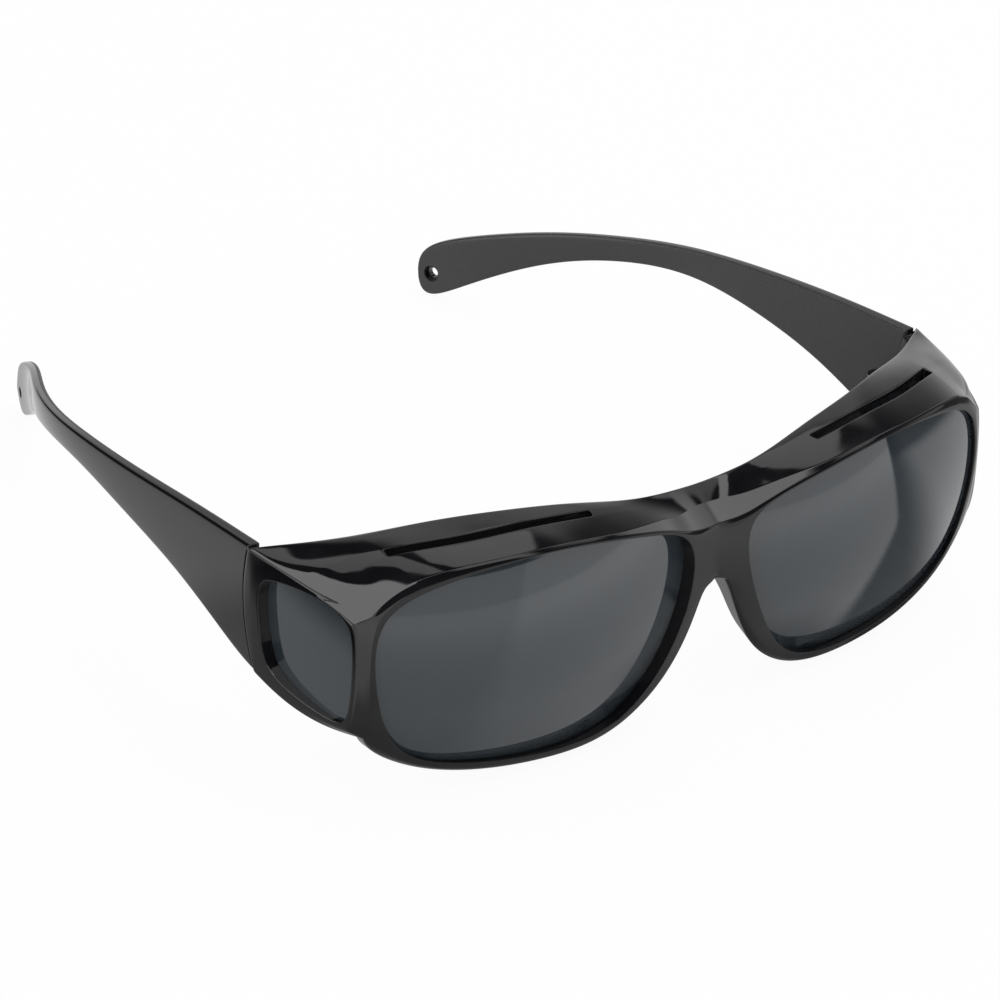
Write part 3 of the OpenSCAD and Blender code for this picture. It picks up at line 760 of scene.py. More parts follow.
    def low_in(self, s):
        s = np.asarray(s, float)
        p = self.low(s)
        near = CORNER_IN * (1, 1, 0)
        far = self.flared(p[:, 0])
        far[:, 1] += self.depth(p[:, 0]) - ROUND_OVER
        return p + mix(near, far, smooth(s * 6)[:, None])

    def window_recess(self, y):
        return mix(*WINDOW_SINK, np.clip((y - WINDOW_LOW[0]) / (WINDOW_HIGH[0] - WINDOW_LOW[0]), 0, 1))

    def wall_at(self, y):
        wall = np.minimum(self.shield_wall, self.window_recess(y) + self.side_t + 0.1)
        return np.where(y < WINDOW_LOW[0], WALL_AHEAD, wall)

    def end_y(self, z):
        """The rear end of the side face: an arc that bulges back between top and foot"""
        return HINGE_BULGE - self.bulge_r + np.sqrt(self.bulge_r ** 2 - (z + self.hinge_h / 2) ** 2)

    def shield_low(self, s):
        ctrl = [self.side(1.0)[0], (self.side_x(-14.6), -14.6, -28.2), (self.side_x(-6.0), -6, -26),
                (self.half_span, 0, -self.hinge_h)]
        return along(ctrl, s)

    def end(self, s):
        z = -self.hinge_h * (1 - np.asarray(s, float))
        return np.stack([np.full_like(z, self.half_span), self.end_y(z), z], -1)


# The brow slot in plan: its middle, its turn in degrees and the radius that it bows with
SLOT_X_FROM_BRIDGE, SLOT_Y, SLOT_TURN, SLOT_BOW_R = 36.0, 12.3, 14.7, 75.0
# The line of the shelf's rows that lies on the slot's near edge, and the rows beside its ends
SLOT_LINE = 5
BESIDE_SLOT = 0.006


def slot_point(shape, u, v):
    """Plan position in a brow slot: u along it, v across it"""
    bow = math.sqrt(SLOT_BOW_R ** 2 - shape.slot_len ** 2 / 4) - np.sqrt(SLOT_BOW_R ** 2 - u * u)
    c, s = math.cos(math.radians(SLOT_TURN)), math.sin(math.radians(SLOT_TURN))
    y = bow + v
    return np.stack([shape.bridge_w / 2 + SLOT_X_FROM_BRIDGE + c * u - s * y,
                     SLOT_Y - shape.reach + s * u + c * y], -1)


def find_on(surface, target):
    """The (e, t) at which a surface passes a plan position"""
    e, t, step = 0.55, 0.5, 1e-4
    for _ in range(30):
        here = surface(e, t)[:2]
        slope = np.stack([surface(e + step, t)[:2] - here, surface(e, t + step)[:2] - here], 1) / step
        move = np.linalg.solve(slope, target - here)
        e, t = e + float(np.clip(move[0], -0.1, 0.1)), t + float(np.clip(move[1], -0.2, 0.2))
    return e, t


def slot_edges(surface, shape):
    """The slot's two long edges on a shelf surface, as (e, t) from its inner end outwards"""
    half, w = shape.slot_len / 2, shape.slot_w / 2
    us = np.linspace(-half, half, 25)
    return np.array([[find_on(surface, slot_point(shape, u, v)) for u in us] for v in (-w, w)])


def shelf_rows(surface, shape, e_rows):
    """Rows of points over a shelf surface, with two of their lines on the slot's edges"""
    edge = slot_edges(surface, shape)
    middle, skew = edge.mean(0), edge[1, :, 0] - edge[0, :, 0]
    t_a, t_b = (np.interp(e_rows, line[:, 0], line[:, 1]) for line in edge)
    lean = np.interp(e_rows, [0, *middle[:, 0], 1], [0, *skew, 0])
    one = np.ones_like(e_rows)
    width = np.linalg.norm(surface(e_rows, one) - surface(e_rows, 0 * one), axis=-1)
    near, rear = np.minimum(0.2 / width, 0.1), np.minimum(1.4 / width, 0.16)
    by = np.minimum(0.45 / width, 0.05)
    t = np.stack([0 * one, near, mix(near, t_a - by, 0.35), mix(near, t_a - by, 0.7), t_a - by, t_a, t_b,
                  t_b + by, mix(t_b + by, 1 - rear, 0.33), mix(t_b + by, 1 - rear, 0.66), 1 - rear, one], 1)
    last = t.shape[1] - 1
    share = np.interp(np.arange(last + 1), [0, SLOT_LINE, SLOT_LINE + 1, last], [0, -0.5, 0.5, 0])
    return surface(e_rows[:, None] + lean[:, None] * share, t)


def top_stops(shape):
    """Stops along the top edge, with rows beside the slot's ends, and which of them lie in the slot"""
    stops = spaced(27, 0, 0.014)
    first, last = slot_edges(shape.shelf, shape).mean(0)[[0, -1], 0]
    extra = [end + by for end in (first, last) for by in (-BESIDE_SLOT, 0, BESIDE_SLOT)]
    keep = [v for v in stops if min(abs(v - x) for x in extra) > BESIDE_SLOT]
    stops = np.array(sorted(keep + extra))
    return stops, (stops >= first - 1e-9) & (stops <= last + 1e-9)


def add_rim(shell, shape, edge_out, edge_in):
    """The face between the rim's edge and the opening, the opening's grooved wall, and the back"""
    mid_t = np.array([0.08, 0.25, 0.45, 0.65, 0.82, 0.93])
    zero = 0 * mid_t
    mid_out = shape.on_face(np.stack([zero, mix(ARCH_Z, BRIDGE_Z, mid_t)], 1))
    bridge_depth = edge_in[0][0, 1] - edge_out[0][0, 1]
    mid_in = mid_out + np.stack([zero, mix(shape.depth(0.0), bridge_depth, mid_t ** 2), zero], 1)
    ring_out, ring_in = (np.vstack([top, side[1:], low[1:], mid]) for (top, side, low), mid in
                         ((edge_out, mid_out), (edge_in, mid_in)))
    top, side, low = (len(line) for line in edge_out)
    soft = np.repeat([0.2, 0.8, 0.85, 0.5], [top, side - 1, low - 1, len(mid_t)])
    flat = ring_out[:, [0, 2]]
    a = shape.opening.even_angles(flat, -1, 6.0)
    o, g, k = (shape.opening.at(a, grow) for grow in (0.0, shape.groove, 0.1))
    s = across(o, flat, 0.35, soft, 2)
    face = shape.on_face(mix(o[:, None], flat[:, None], s[..., None]), -0.15 * np.sin(np.pi * s) ** 2)
    face[:, -1] = ring_out
    shell.grid(face, ring=True)
    front_y, depth = shape.face_y(o[:, 0], o[:, 1]), shape.depth(o[:, 0])
    recess, back = shape.recess(o[:, 0]), shape.groove_back(o[:, 0])

    def wall(p, behind):
        return np.stack([p[:, 0], front_y + behind, p[:, 1]], 1)

    rows = [wall(o, 0), wall(o, 0.35), wall(o, recess / 2), wall(o, recess - 0.15), wall(o, recess),
            wall(g, recess), wall(g, back), wall(k, back), wall(k, depth)]
    shell.grid(np.stack(rows, 1), ring=True, creases=(4, 5, 6, 7, 8))
    shell.band(rows[-1], ring_in, 0.3, 0.4, ring=True)


def add_shelf(shell, shelf_out, shelf_in, in_slot):
    """The shelf's upper and lower face, the walls of its slot, and its rear edge"""
    def hole(i, j):
        return j == SLOT_LINE and in_slot[i] and in_slot[i + 1]

    shell.grid(shelf_out, skip=hole)
    shell.grid(shelf_in, skip=hole)
    inside = np.flatnonzero(in_slot)
    loop = [(i, SLOT_LINE) for i in inside] + [(i, SLOT_LINE + 1) for i in inside[::-1]]
    slot_out, slot_in = (np.array([face[i, j] for i, j in loop]) for face in (shelf_out, shelf_in))
    shell.band(slot_out, slot_in, 0.25, 0.25, middle=0, ring=True)
    shell.band(shelf_out[:, -1], shelf_in[:, -1], 0.5, 0.4)


def add_shield(shell, shape, side_out, side_in, crease_out, crease_in):
    """The side face round its window, the pocket of the pane, the inside, and the free edge"""
    low_out, end_out = shape.shield_low(spaced(7, 0.03, 0.03)), shape.end(spaced(8, 0.03, 0.03))
    thick = shape.wall_at(low_out[:, 1])
    low_in = low_out - np.stack([thick, 0 * thick, 0 * thick - 0.3], 1)
    end_in = end_out - [shape.shield_wall, 0, 0]
    low_in[0], low_in[-1] = side_in[-1], end_in[0]
    end_out[-1], end_in[-1] = crease_out[-1], crease_in[-1]
    edge_out = np.vstack([side_out, low_out[1:], end_out[1:], crease_out[-2:0:-1]])
    edge_in = np.vstack([side_in, low_in[1:], end_in[1:], crease_in[-2:0:-1]])
    counts = [len(side_out), len(low_out) - 1, len(end_out) - 1, len(crease_out) - 2]
    flat = edge_out[:, [1, 2]]
    a = shape.window.angles(flat, 1)
    w = shape.window.at(a)
    s = across(flat, w, np.repeat([0.8, 0.7, 0.8, 1.1], counts), 0.35, 2)
    q = mix(flat[:, None], w[:, None], s[..., None])
    off = edge_out[:, 0] - shape.side_x(edge_out[:, 1])
    x = shape.side_x(q[..., 0]) + off[:, None] * (1 - smooth(s / 0.6))
    face = np.stack([x, q[..., 0], q[..., 1]], -1)
    face[:, 0] = edge_out
    shell.grid(face, ring=True)

    def pane(grow, sink):
        y, z = shape.window.at(a, grow).T
        return np.stack([shape.side_x(y) - sink(y), y, z], 1)

    rows = [pane(0, lambda y: 0), pane(0, lambda y: 0.2), pane(0, shape.window_recess),
            pane(POCKET, shape.window_recess), pane(POCKET, shape.wall_at)]
    shell.grid(np.stack(rows, 1), ring=True, creases=(2, 3, 4))
    shell.band(rows[-1], edge_in, 0.3, 0.4, ring=True)
    free = slice(counts[0] - 1, sum(counts[:3]))
    shell.band(edge_out[free], edge_in[free], 0.4, 0.4, middle=0)


def build_front(shape, name):
    """The moulding as a cage of quads, with support lines beside every edge"""
    top_s, in_slot = top_stops(shape)
    side_s, low_s = spaced(8, 0.03, 0.03), spaced(29, 0.008)
    top_out, side_out, low_out = shape.top(top_s), shape.side(side_s), shape.low(low_s)
    shelf_out, shelf_in = (shelf_rows(face, shape, top_s) for face in (shape.shelf, shape.shelf_in))
    side_in, low_in = shape.side_in(side_s), shape.low_in(low_s)
    low_out[0], low_in[0] = side_out[-1], side_in[-1]
    shell = Shell()
    add_rim(shell, shape, (top_out, side_out, low_out), (shelf_in[:, 0], side_in, low_in))
    shell.band(low_out, low_in, 0.5, 0.4)
    shell.band(top_out, shelf_out[:, 0], 0.15, 0.15, middle=0)
    add_shelf(shell, shelf_out, shelf_in, in_slot)
    add_shield(shell, shape, side_out, side_in, shelf_out[-1], shelf_in[-1])
    shell.mirror()
    return shell.mesh(name)


def build_lens(shape, side, name):
    """A main lens: a sheet with the curve of the front, and an edge that fills the groove"""
    a = np.linspace(0, 360, 160, endpoint=False)
    rim = shape.opening.at(a, shape.groove - PLAY)

    def set_back(q):
        return shape.on_face(q, shape.recess(q[..., 0]) + PLAY)

    rows = [set_back(mix(shape.opening.c, rim, t)) for t in np.linspace(0, 1, 22)[1:]]
    return closed_sheet(rows, (0, shape.lens_t, 0), set_back(shape.opening.c), side, name)


def build_side_lens(shape, side, name):
    """A side lens: a sheet that follows the shield, held in the pocket of the window"""
    a = np.linspace(0, 360, 96, endpoint=False)
    rim = shape.window.at(a, POCKET - PLAY)

    def sunk(q):
        x = shape.side_x(q[..., 0]) - shape.window_recess(q[..., 0]) - PLAY
        return np.stack([x, q[..., 0], q[..., 1]], -1)

    rows = [sunk(mix(shape.window_c, rim, t)) for t in np.linspace(0, 1, 10)[1:]]
    return closed_sheet(rows, (-shape.side_t, 0, 0), sunk(shape.window_c), side, name)


def closed_sheet(rings, depth, centre, side, name):
    """A sheet of rings round a centre, its copy set back by depth, and the edge between"""
    rows = np.stack(rings, 1)
    n, m = rows.shape[:2]
    points = np.vstack([rows.reshape(-1, 3), rows.reshape(-1, 3) + depth, [centre], [centre + depth]])
    points[:, 0] *= side
    faces = []
    for i in range(n):
        j = (i + 1) % n
        for back in (0, n * m):
            faces += [(back + i * m + k, back + j * m + k, back + j * m + k + 1, back + i * m + k + 1)
                      for k in range(m - 1)]
            faces.append((2 * n * m + (back > 0), back + i * m, back + j * m))
        a, b = i * m + m - 1, j * m + m - 1
        faces.append((a, b, b + n * m, a + n * m))
    mesh = bpy.data.meshes.new(name)
    mesh.from_pydata(placed(points).tolist(), [], faces)
    face_outwards(mesh)
    return mesh


# Temples: a section carried along a path by a node tree

# The top edge: share of the reach, and height from the hinge end's top
TEMPLE_TOP = [(0, 0), (0.17, 0.5), (0.34, 0), (0.504, -0.5), (0.65, -2.4), (0.79, -4.4), (0.905, -7.6),
              (0.98, -10.8), (1, -14), (1, -17)]
# The hinge from its top down: upper frame knuckle, temple knuckle, lower frame knuckle
KNUCKLE_TOP, LUG_H, BARREL_H, HINGE_GAP = -9.0, 2.6, 5.0, 0.1
BARREL_TOP = KNUCKLE_TOP - LUG_H - HINGE_GAP
LUG_LOW = BARREL_TOP - BARREL_H - HINGE_GAP
KNUCKLE_FOOT = LUG_LOW - LUG_H
SCREW_PLAY = 0.04
CHAMFER = 0.15
# The lanyard hole: its place from the tip, the wider sink on the inner face, and the outer mouth
HOLE_BACK, HOLE_Z, SINK_R, SINK_DEPTH = 3.0, -17.0, 1.7, 0.9
MOUTH_FLARE = 0.35
# Stations close to the hinge end, in millimetres from it, and how much smaller the section is there
END_STATIONS = [0, 0.25, 0.6, 1.4, 3, 5]
END_INSET = 0.22


def hinge_radii(sizes):
    """Of a knuckle and of the bore that its screw turns in"""
    return in_mm(sizes, "knuckle_r"), in_mm(sizes, "screw_r") + SCREW_PLAY


class TempleShape:
    """Plan line and the two edges of a temple, in millimetres"""

    def __init__(self, sizes, half_span):
        self.reach, self.height = in_mm(sizes, "reach"), in_mm(sizes, "height")
        self.thick, self.tip_thick = in_mm(sizes, "thick"), in_mm(sizes, "tip_thick")
        self.hole_r = in_mm(sizes, "lanyard_r")
        self.knuckle_r, self.bore_r = hinge_radii(sizes)
        curve, h = in_mm(sizes, "curve"), self.height
        plan = [(0, 0), (-0.5, 0.196), (-1.5, 0.383), (-4.5, 0.574), (-11.5, 0.743), (-21, 0.878),
                (-curve, 1)]
        foot = [(0, -h), (0.052, 1.5 - h), (0.194, -13), (0.356, -8.5), (0.5, -5.5), (0.65, -7),
                (0.785, -10.5), (0.9, -17.3), (0.98, -22.8), (1, -20.3), (1, -17.2)]
        s = np.linspace(0, 1, 400)
        self.half_span = half_span
        self.plan = along(plan, s)
        self.top, self.foot = along(TEMPLE_TOP, s), along(foot, s)

    def thick_at(self, y):
        return mix(self.thick, self.tip_thick, y / self.reach)

    def x(self, y):
        """The outer face"""
        return self.half_span + np.interp(np.asarray(y) / self.reach, self.plan[:, 1], self.plan[:, 0])

    def high(self, y):
        return np.interp(y / self.reach, self.top[:, 0], self.top[:, 1])

    def low(self, y):
        return np.interp(y / self.reach, self.foot[:, 0], self.foot[:, 1])

    def side(self, y):
        """The outward direction, level"""
        a, b = np.minimum(y + 0.5, self.reach), np.maximum(y - 0.5, 0)
        m = (self.x(a) - self.x(b)) / (a - b)
        n = np.stack([np.ones_like(m), -m, 0 * m], -1)
        return n / np.linalg.norm(n, axis=-1, keepdims=True)


def attribute(mesh, name, values):
    values = np.asarray(values, np.float32)
    kind, key = ("FLOAT_VECTOR", "vector") if values.ndim == 2 else ("FLOAT", "value")
    mesh.attributes.new(name, kind, "POINT").data.foreach_set(key, values.ravel())


def path_object(points, values, closed, name):
    mesh = bpy.data.meshes.new(name)
    n = len(points)
    edges = [(i, (i + 1) % n) for i in range(n if closed else n - 1)]
    mesh.from_pydata([tuple(p) for p in points], edges, [])
    for key, v in values.items():
        attribute(mesh, key, v)
    return link(name, mesh)


def new_group(name, inputs):
    """A node group that takes and gives geometry; each other input has a name, kind and default"""
    group = bpy.data.node_groups.new(name, "GeometryNodeTree")
    face = group.interface
    face.new_socket(name="Geometry", in_out="INPUT", socket_type="NodeSocketGeometry")
    for label, kind, default in inputs:
        socket = face.new_socket(name=label, in_out="INPUT", socket_type="NodeSocket" + kind)
        if default is not None:
            socket.default_value = default
    face.new_socket(name="Geometry", in_out="OUTPUT", socket_type="NodeSocketGeometry")
    t = Tree(group)
    return t, t.node("NodeGroupInput")


def finish_group(t, given, geometry):
    """Ends a group: one mesh in the material that was given"""
    real = t.node("GeometryNodeRealizeInstances", {"Geometry": geometry})
    done = t.node("GeometryNodeSetMaterial", {"Geometry": real, "Material": t.out(given, "Material")})
    t.node("NodeGroupOutput", {"Geometry": done})
    return t.tree


def loft_tree():
    """Carries a section along a path: each station gives the height, thickness and rounding"""
    t, given = new_group("Temple loft", (
        ("Section", "Object", None), ("Edge rounding", "Float", 0.0005), ("Crown", "Float", 0.0002),
        ("Levels", "Int", 2), ("Material", "Material", None)))

    def named(name, kind="FLOAT"):
        return t.node("GeometryNodeInputNamedAttribute", {"Name": name}, data_type=kind)

    path = t.node("GeometryNodeMeshToCurve", {"Mesh": given})
    section = t.node("GeometryNodeObjectInfo", {"Object": t.out(given, "Section")})
    ring = t.node("GeometryNodeMeshToCurve", {"Mesh": t.out(section, "Geometry")})
    sweep = t.node("GeometryNodeCurveToMesh", {"Curve": path, "Profile Curve": ring, "Fill Caps": True})
    high, low, thick = named("high"), named("low"), named("thick")
    r = t.out(given, "Edge rounding").at_most((high - low) / 3.0)
    corner, arc = named("corner", "FLOAT_VECTOR"), named("arc", "FLOAT_VECTOR")
    corner, arc = t.parts(corner), t.parts(arc)
    height = t.out(corner, "Y")
    off_middle = (height * 2.0 - 1.0) * (height * 2.0 - 1.0)
    out = r * (arc - 1.0) + corner * (r * 2.0 - thick) \
        - off_middle * t.out(given, "Crown") * (1.0 - corner)
    up = low + r + height * (high - low - r * 2.0) + r * t.out(arc, "Y")
    centre, side = named("station", "FLOAT_VECTOR"), named("side", "FLOAT_VECTOR")
    sideways = t.node("ShaderNodeVectorMath", {0: side, "Scale": out}, operation="SCALE")
    lean = named("lean")
    mid = (high + low) / 2.0
    half = (high - low) / 2.0
    rel = (up - mid) / half
    shift = t.vector(Y=lean * (1.0 - rel * rel), Z=up)
    place = t.vector_math("ADD", t.vector_math("ADD", centre, sideways), shift)
    shaped = t.node("GeometryNodeSetPosition", {"Geometry": sweep, "Position": place})
    fine = t.node("GeometryNodeSubdivisionSurface", {"Mesh": shaped, "Level": t.out(given, "Levels")})
    return finish_group(t, given, fine)


def set_inputs(mod, values):
    """Sets a node modifier's inputs by the identifiers of their sockets"""
    ids = {s.name: s.identifier for s in mod.node_group.interface.items_tree
           if getattr(s, "in_out", "") == "INPUT"}
    for name, v in values.items():
        mod[ids[name]] = v


def section_object():
    """Rounded rectangle: which corner each point belongs to, and its direction from there"""
    corners = [(0, 1), (1, 1), (1, 0), (0, 0)]
    corner, arc = [], []
    for c, (sa, sb) in enumerate(corners):
        for k in range(3):
            angle = math.radians(90 * c + 45 * k)
            corner.append((sa, sb, 0))
            arc.append((math.cos(angle), math.sin(angle), 0))
        nxt = corners[(c + 1) % 4]
        for share in ((0.5,) if c % 2 == 0 else (0.3, 0.7)):
            corner.append((mix(sa, nxt[0], share), mix(sb, nxt[1], share), 0))
            angle = math.radians(90 * c + 90)
            arc.append((math.cos(angle), math.sin(angle), 0))
    turns = np.linspace(0, 2 * math.pi, len(corner), False)
    points = [(MM * math.cos(a), MM * math.sin(a), 0) for a in turns]
    return path_object(points, {"corner": corner, "arc": arc}, True, "temple_section")


def temple_path(shape, name):
    """The stations of a temple's loft, with what the loft reads at each of them"""
    y = shape.reach * np.sin(np.linspace(0, math.pi / 2, 46))
    y = np.concatenate([END_STATIONS, y[y > 6.5]])
    y[-1] = shape.reach
    at_hinge = np.interp(y, [0, 10], [1, 0])
    inset = np.where(y < 0.1, END_INSET, 0)
    out = shape.side(y)
    station = np.stack([shape.x(y), y + 2 * HINGE_GAP * at_hinge, 0 * y], 1) - out * inset[:, None]
    values = {"high": (shape.high(y) - inset) * MM, "low": (shape.low(y) + inset) * MM,
              "thick": (shape.thick_at(y) - 2 * inset) * MM, "lean": at_hinge ** 1.5 * HINGE_BULGE * MM,
              "station": station * MM, "side": out}
    return path_object(station * MM, values, False, name)


def build_temple(shape, side, name, material, tree, section):
    """Lofts one temple, then adds its knuckle and cuts its holes"""
    obj = temple_path(shape, name)
    mod = obj.modifiers.new("Loft", "NODES")
    mod.node_group = tree
    set_inputs(mod, {"Section": section, "Material": material})
    apply_modifiers(obj)
    face_outwards(obj.data, merge=1e-7)
    foot = BARREL_TOP - BARREL_H
    knuckle = hinge_cylinder(foot, BARREL_TOP, shape.knuckle_r, 48, CHAMFER)
    root = level_block((AXIS_X, AXIS_Y - 0.6, foot), (shape.half_span - 1.2, AXIS_Y + 4.4, BARREL_TOP))
    combine(obj, [knuckle, root], "UNION")
    hole_y = shape.reach - HOLE_BACK
    out = shape.side(np.array([hole_y]))[0]
    mouth = np.array([float(shape.x(hole_y)), hole_y, HOLE_Z])
    thick = shape.thick_at(hole_y)

    def hole(ahead, behind, r1, r2):
        return tube_between(mouth + out * ahead, mouth - out * behind, r1, r2)

    combine(obj, [hinge_cylinder(foot - 1, BARREL_TOP + 1, shape.bore_r, 32, 0),
                  hole(2, thick + 2, shape.hole_r, shape.hole_r),
                  hole(SINK_DEPTH - thick, thick + 2, SINK_R, SINK_R),
                  hole(0.2, 0.2, shape.hole_r + MOUTH_FLARE, shape.hole_r - 0.05)], "DIFFERENCE")
    co = np.array([v.co for v in obj.data.vertices]) / MM
    inward = shape.x(co[:, 1]) - co[:, 0]
    inner = smooth((inward - shape.thick_at(co[:, 1]) * 0.62) / 0.5) * (co[:, 1] > -1)
    finish_level(obj, co, side)
    attribute(obj.data, "inner", inner)
    shade(obj, 38)
    material_of(obj, material)
    return obj


def finish_level(obj, co, side):
    """Puts a level piece, in millimetres, on its side of the glasses, with its faces outwards"""
    obj.data.vertices.foreach_set("co", placed(co * (side, 1, 1)).astype(np.float32).ravel())
    obj.data.update()
    if side < 0:
        obj.data.flip_normals()


def hinge_cylinder(z0, z1, r, n, chamfer):
    """An upright cylinder of n sides round the hinge's axis"""
    bm = bmesh.new()
    middle = Vector((AXIS_X, AXIS_Y, (z0 + z1) / 2)) * MM
    bmesh.ops.create_cone(bm, cap_ends=True, segments=n, radius1=r * MM, radius2=r * MM,
                          depth=(z1 - z0) * MM, matrix=Matrix.Translation(middle))
    if chamfer:
        rims = [e for e in bm.edges if len(e.link_faces) == 2 and e.calc_face_angle(0) > 1]
        bmesh.ops.bevel(bm, geom=rims, offset=chamfer * MM, segments=3, affect="EDGES", profile=0.5)
    return object_from(bm, "cylinder")


def level_block(lo, hi):
    """A block between two corners, with its edges rounded"""
    bm = bmesh.new()
    size, mid = (np.array(hi) - lo) * MM, (np.array(hi) + lo) / 2 * MM
    bmesh.ops.create_cube(bm, size=1, matrix=Matrix.Translation(Vector(mid)) @ Matrix.Diagonal((*size, 1)))
    bmesh.ops.bevel(bm, geom=bm.edges[:], offset=CHAMFER * MM, segments=2, affect="EDGES", profile=0.5)
    return object_from(bm, "block")


def tube_between(a, b, r1, r2):
    """A round piece from a to b, with a radius at each end"""
    a, b = Vector(a) * MM, Vector(b) * MM
    turn = (b - a).to_track_quat("Z", "Y").to_matrix().to_4x4()
    bm = bmesh.new()
    bmesh.ops.create_cone(bm, cap_ends=True, segments=32, radius1=r1 * MM, radius2=r2 * MM,
                          depth=(b - a).length, matrix=Matrix.Translation((a + b) / 2) @ turn)
    return object_from(bm, "tube")


# Hinges


def build_lug(shape, radii, side, top, name):
    """A frame knuckle: a rounded eye with its root in the end of the shield, and its bore"""
    knuckle_r, bore_r = radii
    foot = top - LUG_H
    obj = hinge_cylinder(foot, top, knuckle_r, 64, CHAMFER)
    corner = (AXIS_X - knuckle_r, -1.4, foot)
    combine(obj, [level_block(corner, (AXIS_X + knuckle_r, AXIS_Y, top)),
                  level_block(corner, (shape.half_span - 0.9, 0.5, top))], "UNION")
    combine(obj, [hinge_cylinder(foot - 1, top + 1, bore_r, 32, 0)], "DIFFERENCE")
    finish_level(obj, np.array([v.co for v in obj.data.vertices]) / MM, side)
    obj.name = obj.data.name = name
    shade(obj, 50)
    return obj


def screw_tree():
    """A slotted screw at each point of the input: shank, thread rings and head"""
    t, given = new_group("Hinge screws", (
        ("Shank radius", "Float", 0.0008), ("Head radius", "Float", 0.0016),
        ("Head height", "Float", 0.0009), ("Length", "Float", 0.01), ("Thread pitch", "Float", 0.00035),
        ("Tilt", "Float", 0.0), ("Material", "Material", None)))
    shank_r, head_r, head_h, length, pitch = (
        t.out(given, n) for n in ("Shank radius", "Head radius", "Head height", "Length", "Thread pitch"))

    def raised(geometry, z):
        offset = t.vector(Z=z)
        return t.node("GeometryNodeTransform", {"Geometry": geometry, "Translation": offset})

    def scaled(geometry, place, sideways):
        """Narrower about the axis, by a factor that may change with the height"""
        times = t.vector(X=sideways, Y=sideways, Z=1.0)
        place = t.vector_math("MULTIPLY", place, times)
        return t.node("GeometryNodeSetPosition", {"Geometry": geometry, "Position": place})

    shank = t.node("GeometryNodeMeshCylinder", {"Vertices": 32, "Radius": shank_r, "Depth": length})
    shank = raised(shank, length * 0.5)
    head = t.node("GeometryNodeMeshCylinder", {"Vertices": 48, "Side Segments": 4, "Radius": head_r,
                                               "Depth": head_h})
    place = t.node("GeometryNodeInputPosition")
    z = t.out(t.parts(place), "Z")
    low = (z / head_h * -1.0).ramp(0.2, 0.5)
    head = raised(scaled(head, place, 1.0 - low * 0.16), head_h * -0.5)
    cut_size = t.vector(X=head_r * 3.0, Y=head_r * 0.31, Z=head_h * 0.9)
    cut = raised(t.node("GeometryNodeMeshCube", {"Size": cut_size}), head_h * -1.0)
    slotted = t.node("GeometryNodeMeshBoolean", {"Mesh 1": head, "Mesh 2": cut},
                     operation="DIFFERENCE", solver="EXACT")
    ridge = t.node("GeometryNodeMeshCylinder", {"Vertices": 32, "Side Segments": 2,
                                                "Radius": shank_r, "Depth": pitch})
    from_crest = abs(z) / pitch * 2.0
    ridge = scaled(ridge, place, 1.0 - from_crest * 0.14)
    rows = t.node("GeometryNodeMeshLine", {"Count": 6, "Offset": t.vector(Z=pitch),
                                           "Start Location": t.vector(Z=length - pitch * 6.2)},
                  count_mode="TOTAL", mode="OFFSET")
    thread = t.node("GeometryNodeInstanceOnPoints", {"Points": rows, "Instance": ridge})
    joined = t.node("GeometryNodeJoinGeometry")
    for part in (shank, slotted, thread):
        t.tree.links.new(part.socket, joined.socket.node.inputs[0])
    turn = t.vector(X=t.out(given, "Tilt"))
    screws = t.node("GeometryNodeInstanceOnPoints", {"Points": given, "Instance": joined, "Rotation": turn})
    return finish_group(t, given, screws)


# Operators

# How far a screw's head lies below the top of its knuckle
HEAD_SUNK = 0.3


def settings():
    return bpy.context.scene.glasses


def shape_now():
    s = settings()
    return FrontShape(s.front, s.lens, s.temple)


def hand_over(obj, body, slot, *nodes):
    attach(obj, body)
    if nodes:
        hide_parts(*nodes)


class GLASSES_OT_front(bpy.types.Operator):
    """Make the moulded front and its four hinge knuckles"""

    bl_idname = "glasses.front"
    bl_label = "Front moulding"

    def execute(self, context):
        s = settings()
        shape = shape_now()
        black = gloss_black("front_gloss_black", s.finish)
        front = link("front_moulding", build_front(shape, "front_moulding"))
        subdivide(front, s.front.detail)
        shade(front, 60)
        material_of(front, black)
        hand_over(front, "front", "front_black", "front_frame")
        for side, word in ((1, "left"), (-1, "right")):
            for top, place in ((KNUCKLE_TOP, "upper"), (LUG_LOW, "lower")):
                lug = build_lug(shape, hinge_radii(s.temple), side, top, f"front_knuckle_{word}_{place}")
                material_of(lug, black)
                hand_over(lug, "front", "front_black", "front_frame")
        return {"FINISHED"}


class GLASSES_OT_lenses(bpy.types.Operator):
    """Make the two main lenses and the two side lenses"""

    bl_idname = "glasses.lenses"
    bl_label = "Lenses"

    def execute(self, context):
        s = settings()
        shape = shape_now()
        smoke = smoke_lens("smoke_lens_gloss", s.lens)
        for side, word in ((1, "left"), (-1, "right")):
            for build, node in ((build_lens, "lens"), (build_side_lens, "side_lens")):
                name = f"{node}_{word}_pane"
                lens = link(name, build(shape, side, name))
                shade(lens, 40)
                material_of(lens, smoke)
                hand_over(lens, "front", "smoke_lens", f"{node}_{word}")
        return {"FINISHED"}


class GLASSES_OT_temples(bpy.types.Operator):
    """Make the two temples with their knuckles and lanyard holes"""

    bl_idname = "glasses.temples"
    bl_label = "Temples"

    def execute(self, context):
        s = settings()
        shape = TempleShape(s.temple, shape_now().half_span)
        black = temple_black("temple_gloss_and_grain", s.finish)
        tree, section = loft_tree(), section_object()
        for side, word in ((1, "left"), (-1, "right")):
            temple = build_temple(shape, side, f"temple_{word}_arm", black, tree, section)
            hand_over(temple, f"{word}_temple", "temple_black", f"temple_{word}")
        bpy.data.objects.remove(section)
        return {"FINISHED"}


